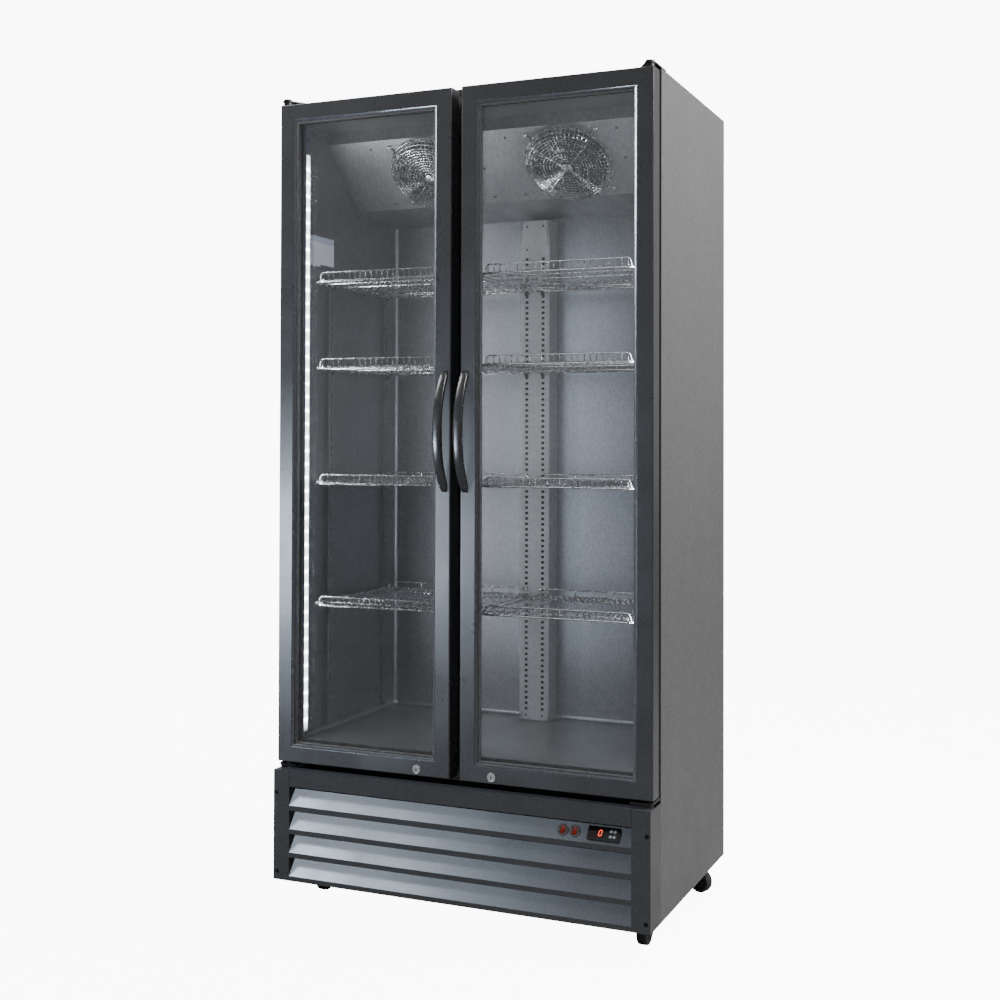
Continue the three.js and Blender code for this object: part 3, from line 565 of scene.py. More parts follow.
def build_doors():
    x_high, y_high, z_high = mm(DOOR_HIGH)
    x, z = (mm(DOOR_LOW)[0], x_high), (mm(DOOR_LOW)[2], z_high)
    corner = arc((3.2, 3.2), 3.2, 180, 270, 4)
    profile = [(0, y_high), *corner, (38.6, 0), (39.8, 0.5), (40, 1.2), (40, 3.6), (33, 3.6)]
    profile += [(33, 24.5), (44.5, 24.5), (44.5, 28), (33, 28), (33, y_high), (24, y_high)]
    profile += [(24, y_high - 1.6), (12, y_high - 1.6), (12, y_high)]
    bead = [(40.15, 3.6), (40.15, 0.9), (40.5, 0.4), (41.1, 0.5)]
    bead += [(46.1, 3.1), (46.4, 3.5), (46.4, 3.7), (40.15, 3.7)]
    spacer = [(43.6, 8.3), (49.5, 8.3), (49.5, 19.7), (43.6, 19.7)]
    seal = [(12, 45.4), (26.5, 45.4), (27.5, 47), (25.5, 50), (28, 54), (27.5, 60.6), (25, 61.1), (13, 61.1)]
    seal += [(11.2, 60), (11.2, 55), (14, 52), (11.6, 49), (11.2, 46.4)]
    for side, s in SIDES:
        body = side + "_door"
        shape = mitred(s, x, z, profile)
        piece(body + "_profile", shape, body, ["door"], [body + "_frame"], sharp=30)
        shape = mitred(s, x, z, bead)
        piece(body + "_bead", shape, body, ["bead"], sharp=20)
        shape = mitred(s, x, z, spacer)
        piece(body + "_spacer", shape, body, ["spacer"], bevel=0.3)

        # The meeting edge's seal lies nearer the edge, so its strip is drawn narrower there.
        shape = mitred(s, x, z, seal, lambda inset: 2 + (inset - 11) * 12 / 17)
        piece(body + "_seal", shape, body, ["rubber"], [body + "_gasket"], sharp=50)

        build_handle(side, s)
        build_lock(side, s)

        # The corner joints' screws, on the hinge side.
        shape = Shape()
        for z_screw in (z[0] + 36, z[1] - 37):
            screw(shape, (s * (x_high - 1.9), 29, z_screw), (s, 0, 0), 3.2)
        piece(body + "_corner_screws", shape, body, ["matt"], sharp=40)
        dress("glass", body + "_glass")


def build_handle(side, s):
    """A bow with a rounded band section. t runs from -1 at its lower foot to 1 at its upper foot."""
    low, high = (mm(corner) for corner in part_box(side + "_door_handle"))
    middle_x = (low[0] + high[0]) / 2
    reach = -low[1]
    bottom, top = low[2], high[2]
    foot, gap, curve = 7, 0.35, 2.3
    foot_start, tip_start = 0.9, 0.96
    rings = []
    steps = 44
    for i in range(steps + 1):
        t = -1 + 2 * i / steps
        shaped = 1 - abs(t) ** curve
        outer = foot + (reach - foot - 0.4) * shaped**0.92
        inner = gap
        if abs(t) < foot_start:
            inner = max(gap, (reach - 14.5) * (1 - abs(t / foot_start) ** curve))
        half = 12 * (1 - 0.16 * abs(t) ** 2.5) * min(1, ((1 - abs(t)) * 9 + 0.32)) ** 0.42
        z = bottom + (top - bottom) * (t + 1) / 2
        if abs(t) > tip_start:
            outer *= 1 - (abs(t) - tip_start) * 9
        centre = (outer + inner) / 2
        deep = (outer - inner) / 2
        ring = []
        for a in turns_of(20):
            c, d = cos(a), sin(a)
            across = half * abs(c) ** 0.72 * (1 if c >= 0 else -1)
            out = centre + deep * abs(d) ** 0.8 * (1 if d >= 0 else -1)
            ring.append((middle_x + across, -out, z))
        rings.append(ring)
    shape = Shape()
    shape.rings(rings)
    body = side + "_door"
    piece(body + "_bow_handle", shape, body, ["gloss"], [body + "_handle"], sharp=60)


def build_lock(side, s):
    """A chromed cam lock: collar, plug with its key slot, and the cam inside the door."""
    head = 11
    x, z = s * 100, mm(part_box(side + "_lock")[1])[2] - head
    collar = [(9, 20), (9, -0.4), (head, -0.4), (head, -5.6)]
    collar += [(10.2, -7.2), (8.6, -7.9), (7.9, -7.4), (7.7, -5.8)]
    plug = [(7.4, -4), (7.4, -6.4), (6.9, -6.9), (2.2, -7.0)]
    shape = Shape()
    shape.lathe(collar, (x, 0, z), "y", 40)
    shape.lathe(plug, (x, 0, z), "y", 40)
    shape.box((x - 0.9, x + 0.9), (-7.25, -6), (z - 4.6, z + 4.6), 1)
    shape.lathe([(1.7, -6), (1.7, -7.3)], (x, 0, z), "y", 16, 1)
    shape.box(sorted((x - s * 6, x + s * 40)), (22.5, 25.5), (z - 6, z + 6))
    shape.lathe([(5, 19), (5, 27.5)], (x, 0, z), "y", 6)
    body = side + "_lock_plug"
    piece(body + "_barrel", shape, body, ["chrome", "matt"], [side + "_lock"], sharp=30)


# ---------------- cabinet
def build_cabinet():
    dress("skin", "left_side_panel", "right_side_panel", "top_panel", bevel=0.4)
    dress("skin", "back_panel", "rear_vent_panel")
    dress("grille", "grille", bevel=0.9)
    dress("foam", "insulation")
    dress("zinc", "base_tray")
    dress("fins", "evaporator_coil", "condenser")
    dress("steel", "compressor", bevel=0.8)
    dress("matt", "power_inlet", bevel=0.5)
    dress("steel", "top_hinge_left", "top_hinge_right", bevel=0.5)
    dress("steel", "bottom_hinge_left", "bottom_hinge_right", bevel=0.5)
    dress("stucco", "evaporator_cover")

    build_liner()
    build_standards()
    build_lights()
    build_cover_details()
    build_grille_details()
    matrix = control_matrix()
    build_controller(matrix)
    build_switches(matrix)

    # A blank card on the left wall, with a smaller one over its corner.
    shape = Shape()
    shape.box((-465.9, -465.4), (92, 214), (1654, 1728))
    shape.box((-465.4, -464.9), (90, 142), (1648, 1684))
    piece("wall_card", shape, "cabinet", ["card"], bevel=0.1)


def build_liner():
    """A tub with rounded corners, open to the front, and the painted strips that close its edge."""
    low, high = (mm(corner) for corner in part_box("inner_liner"))
    thick, bend, quarter_steps = 0.9, 12, 4
    back = high[1] - thick
    turns = [pi / 2 * i / quarter_steps for i in range(1, quarter_steps + 1)]
    depths = [(0, low[1]), (0, back - bend)]
    depths += [(bend - bend * cos(t), back - bend + bend * sin(t)) for t in turns]
    x, top, bottom = LINER_HALF - bend, LINER_CEILING - bend, LINER_FLOOR + bend
    rings = []
    for inset, y in depths:
        r = max(0.5, bend - inset)
        ring = []
        for cx, cz, start in ((x, top, 0), (-x, top, 90), (-x, bottom, 180), (x, bottom, 270)):
            ring += [(a, y, b) for a, b in arc((cx, cz), r, start, start + 90, quarter_steps)]
        rings.append(ring)
    shape = Shape()
    shape.rings(rings, caps=False)
    shape.faces.append(tuple(range(len(shape.points) - len(rings[-1]), len(shape.points))))
    shape.slots.append(0)
    tub = piece("liner_tub", shape, "cabinet", ["liner"], ["inner_liner"], sharp=50, thick=thick)
    tub.modifiers["thickness"].offset = 1

    shape = Shape()
    sheet = (61.5, 62.6)
    shape.box((-467, 467), sheet, (350, 413.5))
    for s in (-1, 1):
        shape.box(sorted((s * 467, s * 466.2)), sheet, (413.5, LINER_CEILING))
    piece("liner_sill", shape, "cabinet", ["skin"], bevel=0.3)


def folded(shape, path, z):
    """Upright sheets along a path of (x, y)."""
    for (xa, ya), (xb, yb) in zip(path, path[1:]):
        shape.add([(xa, ya, z[0]), (xb, yb, z[0]), (xb, yb, z[1]), (xa, ya, z[1])], [(0, 1, 2, 3)])


def build_standards():
    """The perforated bars that the shelves hang from, with their clips."""
    rows = [446 + 15 * i for i in range(84)]
    half, z = 43, (415, 1797)
    columns = (-STANDARD_COLUMN, STANDARD_COLUMN)
    shape = Shape()
    perforated(shape, (-half, half), z, columns, (9, 7), rows, lambda a, b: (a, STANDARD_FRONT, b))
    for s in (-1, 1):
        folded(shape, [(s * half, STANDARD_FRONT), (s * half, STANDARD_BACK), (s * 30, STANDARD_BACK)], z)
    # A deep black sheet inside the rear standard: painted shade that shows through its holes.
    hole_shade_sheet = Shape()
    hole_shade_sheet.box((-34, 34), (522, 523), (440, 1720))
    piece("rear_standard_lining", hole_shade_sheet, "cabinet", ["pitch"], bevel=0.3)
    weld_first(piece(
        "rear_standard_box", shape, "cabinet", ["zinc"], ["rear_standard"], thick=1.5
    ))

    rows = [446 + 20 * i for i in range(77)]
    half, front, z = 29, 62, (414, 2009)
    columns = (-MULLION_COLUMN, MULLION_COLUMN)
    shape = Shape()
    perforated(shape, (-half, half), z, columns, (5, 9), rows, lambda a, b: (a, MULLION_BACK, b))
    for s in (-1, 1):
        folded(shape, [(s * half, MULLION_BACK), (s * half, front)], z)
    folded(shape, [(-half, front), (half, front)], z)
    weld_first(piece("mullion_box", shape, "cabinet", ["liner"], ["centre_mullion"], thick=1.0))

    rows = [448 + 20 * i for i in range(60)]
    half, z = 11, (431, 1640)
    shape = Shape()
    for s in (-1, 1):
        for y in WALL_STANDARD_DEPTHS:
            place = lambda a, b, s=s, y=y: (s * WALL_STANDARD_X, y + a, b)
            perforated(shape, (-half, half), z, (0,), (6, 9), rows, place)
            for edge in (y - half, y + half):
                folded(shape, [(s * WALL_STANDARD_X, edge), (s * LINER_HALF, edge)], z)
    weld_first(piece("wall_standards", shape, "cabinet", ["liner"], thick=0.9))

    # Hooked clips under the corners of every shelf.
    shape = Shape()
    for level in SHELF_LEVELS:
        for s in (-1, 1):
            for y in WALL_STANDARD_DEPTHS:
                hook(shape, (s * 456, y, level), (-s, 0))
            hook(shape, (s * STANDARD_COLUMN, 517.5, level), (0, -1))
            hook(shape, (s * MULLION_COLUMN, 91, level), (0, 1))
    piece("shelf_hooks", shape, "cabinet", ["steel"], bevel=0.3)
    shape = Shape()
    for x, height in ((-24, 1782), (24, 1782), (-24, 1718), (24, 428), (-24, 428)):
        screw(shape, (x, 517.6, height), (0, -1, 0), 3.6)
    piece("standard_screws", shape, "cabinet", ["matt"], sharp=40)


def hook(shape, root, way):
    """A bent steel clip that a shelf wire rests in."""
    x, y, z = root
    a, b = way
    outline = [(-2, -3.2), (-2, -13), (2, -15), (6, -11)]
    outline += [(12.5, -4.6), (12.5, 1.5), (10.6, 1.5), (10.6, -3.2)]
    rings = []
    for offset in (-3.2, 3.2):
        ring = [(x + a * p + b * offset, y + b * p + a * offset, z + q) for p, q in outline]
        rings.append(ring)
    shape.rings(rings)


def build_lights():
    """LED strips in channels on the side walls, just behind the doors."""
    channel = [(465.6, 62.8), (465.6, 86.7), (463, 86.7), (461.8, 85.6), (461.8, 84.4), (463.2, 84.2)]
    channel += [(463.2, 65.3), (461.8, 65.1), (461.8, 63.9), (463, 62.8)]
    lens = [(2.6, 0), (2.6, -0.4), (2.0, -0.9), (0.9, -1.1)]
    board_x, middle = 462.7, 74.5
    first, apart, count = 460, 35, 42
    for side, s in SIDES:
        shape = Shape()
        shape.rings([[(s * a, b, z) for a, b in channel] for z in (416.5, 2005.5)])
        shape.box(sorted((s * 463.1, s * board_x)), (65.5, 84), (430, 1935), 1)
        for i in range(count):
            centre = (s * board_x, middle, first + apart * i)
            shape.lathe([(r, s * h) for r, h in lens], centre, "x", 12, 2)
        for z in (423, 1975):
            screw(shape, (s * 463.2, middle, z), (-s, 0, 0), 3.0, 3)
        name = "led_strip_" + side
        materials = ["channel", "board", "lamp", "matt"]
        piece(name + "_lit", shape, "cabinet", materials, [name], sharp=30)


def fan_matrix(side):
    """From fan coordinates, X across, Y down the slope and Z out of the cover, to millimetres."""
    spin = joint("evaporator_fan_" + side + "_spin")
    out = Vector(spin["axis"]).normalized()
    across = Vector((-1, 0, 0))
    down = out.cross(across)
    turn = Matrix((across, down, out)).transposed().to_4x4()
    return Matrix.Translation(Vector(mm(spin["pos_m"]))) @ turn


def build_guard(side, matrix):
    """Rings and spokes of wire over a fan, held by four arms."""
    guard = Shape(matrix)
    for i in range(12):
        guard.tube(circle(14 + 8 * i, GUARD_TOP - 1.5), 1.25, 6, closed=True)
    guard.tube(circle(GUARD_RIM, 7), 1.9, 6, closed=True)
    guard.tube(circle(109, 20), 1.3, 6, closed=True)
    for k, t in enumerate(turns_of(60)):
        start = 54 if k % 2 else 22
        path = [(start, GUARD_TOP - 3.4), (97, GUARD_TOP - 3.4), (105, GUARD_TOP - 4.6)]
        path += [(110.5, GUARD_TOP - 9), (GUARD_RIM, 8)]
        guard.tube([(r * cos(t), r * sin(t), h) for r, h in path], 1.0, 5)
    hub = [(15, GUARD_TOP - 3), (15, GUARD_TOP - 1), (12, GUARD_TOP + 0.6), (3, GUARD_TOP + 0.6)]
    guard.lathe(hub, (0, 0, 0), "z", 28)
    foot = GUARD_RIM + 20
    arm = [(12, GUARD_TOP + 1), (98, GUARD_TOP + 1), (106, GUARD_TOP - 2), (112, GUARD_TOP - 9)]
    arm += [(GUARD_RIM + 1.5, 9), (GUARD_RIM + 4, 3), (GUARD_RIM + 12, 2), (foot + 1, 2)]
    bolt = [(6, 0.5), (6, 3.6), (5, 4.6), (1.5, 4.8)]
    for turn in turns_of(4):
        t = pi / 4 + turn
        guard.tube([(r * cos(t), r * sin(t), h) for r, h in arm], 2.0, 7)
        guard.lathe(bolt, (foot * cos(t), foot * sin(t), 0), "z", 16)
    name = "fan_guard_" + side
    piece(name + "_wires", guard, "cabinet", ["wire"], [name], sharp=40)


def build_cover_details():
    """Guards, fans, shrouds and motors on the sloping cover, its screws, and the condenser's fan."""
    hub = [(8, -38), (30, -36), (33, -30), (33, -10), (30, -5), (24, -3), (5, -2)]
    lip = [(104.5, -1.8), (101.5, -3), (100.2, -8), (100.2, -40)]
    lip += [(101.4, -40), (101.4, -8.4), (103, -4), (105, -2.8)]
    screws = Shape()
    for side, _ in SIDES:
        matrix = fan_matrix(side)
        build_guard(side, matrix)

        fan = Shape(matrix)
        fan.lathe(hub, (0, 0, 0), "z", 32)
        for t in turns_of(5):
            blade(fan, t, 28, 94, -18)
        body = "evaporator_rotor_" + side
        replaced = ["evaporator_fan_" + side]
        piece(body + "_blades", fan, body, ["matt"], replaced, sharp=50)

        shroud = Shape(matrix)
        shroud.rings([circle(r, h, 64) for r, h in lip], closed=True)
        for t in turns_of(4):
            shroud.tube([(26 * cos(t), 26 * sin(t), -48), (101 * cos(t), 101 * sin(t), -39)], 2.6, 8)
        shroud.lathe([(30, -92), (36, -88), (36, -46), (30, -42)], (0, 0, 0), "z", 28)
        piece("fan_shroud_" + side, shroud, "cabinet", ["matt"], sharp=40)

        out = matrix.to_3x3() @ Vector((0, 0, 1))
        for x, y in ((-150, -92), (150, -92), (-150, 96), (150, 96), (-150, 0)):
            screw(screws, matrix @ Vector((x, y, 0.2)), out, 3.6)

    spin = joint("condenser_fan_spin")
    turn = Matrix.Rotation(-pi / 2, 4, "X")
    fan = Shape(Matrix.Translation(Vector(mm(spin["pos_m"]))) @ turn)
    fan.lathe([(6, -4), (28, -2), (30, 4), (30, 26), (24, 29), (5, 30)], (0, 0, 0), "z", 32)
    for t in turns_of(5):
        blade(fan, t, 25, 95, 13)
    body = "condenser_rotor"
    piece(body + "_blades", fan, body, ["matt"], ["condenser_fan"], sharp=50)
    piece("cover_screws", screws, "cabinet", ["matt"], sharp=40)


def blade(shape, turn, inner, outer, height):
    """A curved fan blade that twists from hub to tip."""
    rings = []
    steps = 7
    for i in range(steps + 1):
        share = i / steps
        r = inner + (outer - inner) * share
        width = (24 + 50 * share**0.8) * (1 if i < steps else 0.93)
        pitch = radians(34 - 14 * share)
        sweep = turn + 0.16 * share
        upper, lower = [], []
        for j in range(7):
            u = -0.5 + j / 6
            arch = 3.2 * (1 - (2 * u) ** 2)
            along = width * u * cos(pitch)
            rise = width * u * sin(pitch) + arch
            angle = sweep + along / r
            for lift, line in ((0.9, upper), (-0.9, lower)):
                line.append((r * cos(angle), r * sin(angle), height + rise + lift * (1 - 0.6 * abs(2 * u))))
        rings.append(upper + lower[::-1])
    shape.rings(rings)


def build_grille_details():
    shape = Shape()
    for s in (-1, 1):
        for x, z in ((491, 291), (489, 92)):
            screw(shape, (s * x, -17.9, z), (0, -1, 0), 5.4)
    piece("grille_screws", shape, "cabinet", ["pitch"], sharp=40)

    # Dark joint lines between the posts and the top rail.
    shape = Shape()
    for s in (-1, 1):
        shape.box((s * 454.5 - 0.5, s * 454.5 + 0.5), (-17.95, -17.5), (309, 347))
    piece("grille_seams", shape, "cabinet", ["pitch"], bevel=0.05)

    # A pleated air filter behind the louvres, drawn deep black as painted shade, so that little of the
    # machine shows.
    shape = Shape()
    half, z, depth, pleat, pleats = 448, (110, 349), 3, 2.2, 90
    rings = []
    for i in range(pleats + 1):
        x = -half + 2 * half * i / pleats
        y = 62 + (pleat if i % 2 else 0)
        rings.append([(x, y, z[0]), (x, y, z[1]), (x, y + depth, z[1]), (x, y + depth, z[0])])
    shape.rings(rings)
    piece("air_filter", shape, "cabinet", ["pitch"], sharp=20)


def control_matrix():
    """From controls coordinates, X across, Y up the slope and Z out of the louvre, to millimetres."""
    out = -Vector(joint("key_1_press")["axis"]).normalized()
    across = Vector((1, 0, 0))
    up = out.cross(across)
    turn = Matrix((across, up, out)).transposed().to_4x4()
    base = Vector(mm(joint("switch_left_rock")["pos_m"])) - out * ROCKER_PIVOT
    base.x = 0
    return Matrix.Translation(base) @ turn


def build_controller(matrix):
    x0, w, h = CONTROLLER_X, 40, 17
    shape = Shape(matrix)
    outer = rounded(w, h, 3.5)
    steps = [(0.3, 0.6), (0.3, 0), (5.6, 0), (7.2, 0.5), (CONTROLLER_FACE, 1.8)]
    shape.rings([[(x0 + a * (w - i) / w, b * (h - i) / h, z) for a, b in outer] for z, i in steps])
    shape.box((x0 - 35, x0 + 35), (-14, 14), (-14, 0.5))
    window = rounded(19, 12.2, 2)
    steps = [(7.5, 1), (8.35, 1), (8.5, 0.97)]
    shape.rings([[(x0 - 16.5 + a * k, b * k, z) for a, b in window] for z, k in steps], 1)
    digit(shape, x0 - 8, 0, 8.55, 3.4, 6.8)
    materials = ["gloss", "window", "digit"]
    piece("controller_face", shape, "cabinet", materials, ["controller"])

    dome = [(3.6, -3), (3.8, -1), (3.8, 1.1), (3.4, 1.8), (2.4, 2.15), (0.4, 2.25)]
    for n in range(1, 5):
        low, high = (Vector(mm(corner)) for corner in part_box("button_%d" % n))
        centre = matrix.inverted() @ ((low + high) / 2)
        key = Shape(matrix)
        key.lathe(dome, (centre.x, centre.y, CONTROLLER_FACE - 0.4), "z", 24)
        body = "key_%d" % n
        piece(body + "_cap", key, body, ["white"], ["button_%d" % n])


def build_switches(matrix):
    """Round bezels with an oblong hole, and in each a tilted red rocker."""
    r, half_w, half_h = 13.9, 6.0, 9.9
    profile = [(r, 2.6), (r, 4.4), (r - 0.8, 5.4), (r - 2.2, 5.6), (r - 3, 5.0)]
    shape = Shape(matrix)
    for _, x in SWITCHES:
        rings = [[(x + a, b, z) for a, b, z in circle(q, height, 40)] for q, height in profile]
        for z in (4.2, 2.4):
            ring = []
            for t in turns_of(40):
                a, b = cos(t), sin(t)
                k = min(half_w / max(1e-6, abs(a)), half_h / max(1e-6, abs(b)), r - 3.2)
                ring.append((x + a * k, b * k, z))
            rings.append(ring)
        shape.rings(rings, caps=False, closed=True)
    piece("switch_bezels", shape, "cabinet", ["smoke"])

    length, steps = 9, 12
    for side, x in SWITCHES:
        tilt = Matrix.Translation((x, 0, ROCKER_PIVOT)) @ Matrix.Rotation(radians(-9), 4, "X")
        rocker = Shape(matrix @ tilt)
        rings = []
        for i in range(steps + 1):
            v = -length + 2 * length * i / steps
            top = 0.7 + 1.9 * abs(v / length) ** 1.5
            outline = [(-5.2, -3), (5.2, -3), (5.2, top - 0.5), (4.6, top), (-4.6, top), (-5.2, top - 0.5)]
            rings.append([(a, v, z) for a, z in outline])
        rocker.rings(rings)
        rocker.box((-0.4, 0.4), (4.2, 7.2), (1.0, 2.45), 1)
        body = "switch_rocker_" + side
        piece(body + "_red", rocker, body, ["red", "white"], ["rocker_" + side], sharp=40)


def rounded(w, h, r, steps=5):
    """A rectangle w and h from its middle to its edges, with rounded corners."""
    points = []
    for cx, cy, start in ((w - r, h - r, 0), (r - w, h - r, 90), (r - w, r - h, 180), (w - r, r - h, 270)):
        points += arc((cx, cy), r, start, start + 90, steps)
    return points


def digit(shape, x, y, z, half_w, half_h):
    """A nought of six leaning bars."""
    t, lean = 0.95, 0.12
    bars = [((-half_w + 1, half_h), (half_w - 1, half_h)), ((-half_w + 1, -half_h), (half_w - 1, -half_h))]
    for s in (-1, 1):
        bars += [((s * half_w, 1), (s * half_w, half_h - 1)), ((s * half_w, 1 - half_h), (s * half_w, -1))]
    for (xa, ya), (xb, yb) in bars:
        way = Vector((xb - xa, yb - ya)).normalized()
        side = Vector((-way.y, way.x)) * t
        start, end, tip = Vector((xa, ya)), Vector((xb, yb)), way * t * 0.9
        outline = [start - tip, start - side, end - side, end + tip, end + side, start + side]
        ring = [(x + p.x + lean * p.y, y + p.y) for p in outline]
        shape.rings([[(a, b, h) for a, b in ring] for h in (z - 0.3, z + 0.12)], 2)


# ---------------- shelves
def build_shelf(side, s, number, z):
    """A wire shelf: its rim, deck, front lip, cross bars and the low rail at the back."""
    outer, inner = 457, 12
    front, back = 73.5, 510.5
    shape = Shape()

    def at(x, y, h=0.0):
        return (s * x, y, z + h)

    cut = [(0, 111), (14, 96), (38, front + 1.5), (42, front)]
    turned = [(0.1 * k, back - 12 + 3 * k) for k in range(3)] + [(3, back - 1), (12, back)]
    rim = [at(inner + a, y) for a, y in cut] + [at(outer - a, y) for a, y in reversed(cut)]
    rim += [at(outer - a, y) for a, y in turned] + [at(inner + a, y) for a, y in reversed(turned)]
    shape.tube(rim, 2.6, 8, closed=True)

    # Deck wires run back to front and turn up into the lip, apart from those at the cut corners.
    count, deck = 28, 3.6
    for i in range(count):
        x = inner + 10 + (outer - inner - 20) * i / (count - 1)
        missing = max(0, inner + 38 - x, x - (outer - 38))
        if missing > 0:
            path = [at(x, front + missing, deck), at(x, back, deck)]
        else:
            path = [at(x, front - 0.2, 21.5), at(x, front - 0.2, 8), at(x, front + 0.6, 5)]
            path += [at(x, front + 2.4, 3.9), at(x, front + 5, deck), at(x, back, deck)]
        shape.tube(path, 1.3, 6)

    bend = [(34, 3, 3), (35, 0.8, 12), (38, 0, 18.5), (43, 0, 22)]
    lip = [at(inner + a, front + b, h) for a, b, h in bend]
    lip += [at(outer - a, front + b, h) for a, b, h in reversed(bend)]
    shape.tube(lip, 1.8, 8)

    for y in (228, 430, 468):
        shape.tube([at(inner, y), at(outer, y)], 2.4, 8)
    shape.tube([at(inner + 2, 140), at(outer - 2, 140)], 1.9, 8)

    bend = [(6, 3), (6, 12), (9, 17), (15, 19)]
    rail = [at(inner + a, back - 2, h) for a, h in bend]
    rail += [at(outer - a, back - 2, h) for a, h in reversed(bend)]
    shape.tube(rail, 2.0, 8)
    for k in range(1, 4):
        x = inner + (outer - inner) * k / 4
        shape.tube([at(x, back - 2, 2), at(x, back - 2, 18.5)], 1.7, 6)
    name = "shelf_%s_%d" % (side, number)
    piece(name + "_wires", shape, name + "_body", ["wire"], [name], sharp=50)


# ---------------- casters
def build_casters():
    half = 12.5
    tread = [(19, -half + 2), (22, -half), (26.5, -half), (28.9, -half + 1.4), (30, -half + 5)]
    tread += [(r, -h) for r, h in reversed(tread)]
    hub = [(4.6, -half + 1), (8, -half + 0.6), (9, -half + 3.5)]
    hub += [(17, -half + 4), (18, -half + 1.6), (19.4, -half + 1.2)]
    hub += [(r, -h) for r, h in reversed(hub)]
    for name in ("front_left", "front_right", "rear_left", "rear_right"):
        dress("steel", "caster_fork_" + name, bevel=0.5)
        roll = joint("wheel_" + name + "_roll")
        axle = Vector(roll["axis"]).normalized()
        turn = Vector((1, 0, 0)).rotation_difference(axle).to_matrix().to_4x4()
        matrix = Matrix.Translation(Vector(mm(roll["pos_m"]))) @ turn
        shape = Shape(matrix)
        for slot, (outline, sides) in enumerate(((tread, 48), (hub, 40))):
            rings = [[(h, r * cos(t), r * sin(t)) for t in turns_of(sides)] for r, h in outline]
            shape.rings(rings, slot, closed=True)
        body, replaced = "wheel_" + name, ["caster_wheel_" + name]
        piece(body + "_tyre", shape, body, ["rubber", "matt"], replaced, sharp=40)

        # The axle's nut and head, outside the fork.
        nuts = Shape(matrix)
        for end in (-1, 1):
            profile = [(5.4, -end * 1.2), (5.4, end * 1.6), (4.6, end * 2.4)]
            nuts.lathe(profile, (end * (half + 5.6), 0, 0), "x", 6)
        body = "caster_" + name
        piece(body + "_nuts", nuts, body, ["zinc"], sharp=20)


# ---------------- studio
def seen_white(tree, dim):
    """A strength that shows the backdrop white, and is dim as a light. It is for the backdrop only."""
    path = tree.nodes.new("ShaderNodeLightPath")
    mix = tree.nodes.new("ShaderNodeMix")
    mix.inputs["B"].default_value = 10.0
    tree.links.new(path.outputs["Is Camera Ray"], mix.inputs["Factor"])
    if isinstance(dim, (int, float)):
        mix.inputs["A"].default_value = dim
    else:
        tree.links.new(dim, mix.inputs["A"])
    return mix.outputs["Result"]


def build_floor():
    floor = Nodes("studio_floor", (0.28, 0.28, 0.28), 0.6)
    floor.patches(900, 0.3, 0.7, 0.5, (0.3, 0.3, 0.3))
    floor.shader.inputs["Specular IOR Level"].default_value = 0.1
    floor.shader.inputs["Emission Color"].default_value = (1, 1, 1, 1)
    floor.link(seen_white(floor.tree, 0.0), floor.shader.inputs["Emission Strength"])
    mesh = bpy.data.meshes.new("studio_floor")
    half = 30
    corners = [(-half, -half, 0), (half, -half, 0), (half, half, 0), (-half, half, 0)]
    mesh.from_pydata(corners, [], [(0, 1, 2, 3)])
    mesh.materials.append(floor.material)
    ground = bpy.data.objects.new("studio_floor", mesh)
    scene.collection.objects.link(ground)
    return ground


def build_world():
    """An even, pale surround, a little dimmer in front of the cabinet than behind it."""
    world = bpy.data.worlds.new("studio")
    scene.world = world
    world.use_nodes = True
    tree = world.node_tree
    background = tree.nodes["Background"]
    background.inputs["Color"].default_value = (0.97, 0.98, 1.0, 1)
    coords = tree.nodes.new("ShaderNodeTexCoord")
    split = tree.nodes.new("ShaderNodeSeparateXYZ")
    spread = tree.nodes.new("ShaderNodeMapRange")
    for name, value in (("From Min", -0.7), ("From Max", 0.7), ("To Min", 0.43), ("To Max", 0.45)):
        spread.inputs[name].default_value = value
    tree.links.new(coords.outputs["Generated"], split.inputs[0])
    tree.links.new(split.outputs[1], spread.inputs["Value"])
    tree.links.new(seen_white(tree, spread.outputs[0]), background.inputs["Strength"])


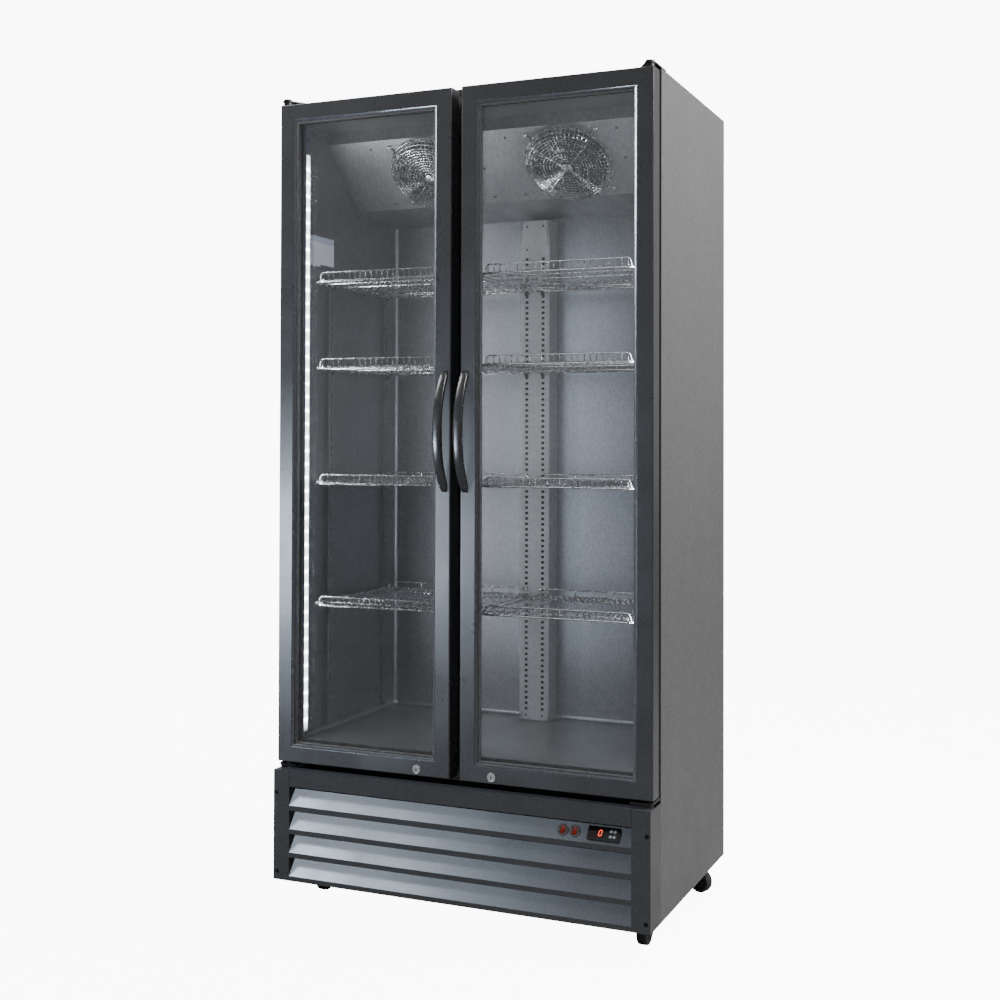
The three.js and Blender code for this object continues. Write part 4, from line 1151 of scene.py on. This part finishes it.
def build_lamps(ground):
    cool, plain, led = (0.74, 0.86, 1.0), (1.0, 1.0, 1.0), (0.93, 0.96, 1.0)
    shade = bpy.data.collections.new("lamp_shade")
    shade.objects.link(ground)

    def lamp(name, place, target, size, power, color, only=()):
        """A soft area light. With only, it lights the pieces named by those words, and no piece shades it."""
        data = bpy.data.lights.new(name, "AREA")
        data.shape = "RECTANGLE"
        data.size, data.size_y = size
        data.energy = power
        data.color = color
        obj = bpy.data.objects.new(name, data)
        obj.location = place
        obj.rotation_euler = (Vector(target) - Vector(place)).to_track_quat("-Z", "Y").to_euler()
        obj.visible_camera = False
        scene.collection.objects.link(obj)
        if only:
            lit = bpy.data.collections.new(name + "_lit")
            for item in scene.objects:
                if any(word in item.name for word in only):
                    lit.objects.link(item)
            obj.light_linking.receiver_collection = lit
            obj.light_linking.blocker_collection = shade

    lamp("louvre_light", (-2.35, -1.7, 2.55), (-0.4, -0.35, 0.2), (1.2, 1.2), 240, cool, ("grille", "bead"))
    door = ("profile", "bow_handle")
    lamp("window", (-1.72, -2.42, 0.72), (-0.15, -0.35, 0.9), (1.2, 0.45), 78, cool, door)
    lamp("wire_light", (-0.6, -2.9, 2.3), (0, -0.1, 1.2), (1.0, 1.0), 22, plain, ("shelf",))
    door += ("barrel", "spacer")
    lamp("key", (-2.4, -1.2, 3.6), (-0.1, -0.2, 0.7), (1.4, 1.4), 90, plain, door)
    lamp("side", (2.5, 0.1, 3.4), (0.5, 0.1, 1.9), (1.5, 1.5), 250, plain)
    lamp("top", (0.5, 0.6, 4.4), (0, 0, 1.0), (3, 3), 110, plain)
    lamp("inner", (-0.08, -0.16, 1.15), (0.1, 0.22, 1.15), (0.34, 1.25), 3.1, cool, ("liner_tub",))
    for side, s in SIDES:
        place, target = metres((s * 458, 74, 1210)), metres((0, 90, 1210))
        lamp("led_" + side, place, target, (0.012, 1.35), 5.0, led)


def build_camera():
    """The photograph's view."""
    data = bpy.data.cameras.new("camera")
    data.sensor_width = 36
    data.lens = 49.9
    data.shift_y = -0.0812
    obj = bpy.data.objects.new("camera", data)
    obj.location = (1.4333, -3.3475, 1.1938)
    turn = Matrix.Rotation(radians(23.34), 4, "Z") @ Matrix.Rotation(radians(90.798), 4, "X")
    roll = Matrix.Rotation(radians(0.158), 4, "Z")
    obj.rotation_euler = (turn @ roll).to_euler()
    scene.collection.objects.link(obj)
    scene.camera = obj


build_camera()
build_cabinet()
build_doors()
for side, s in SIDES:
    for number, level in enumerate(SHELF_LEVELS, 1):
        build_shelf(side, s, number, level)
build_casters()

# The lamps come last, because some of them list the pieces that they light.
build_world()
build_lamps(build_floor())
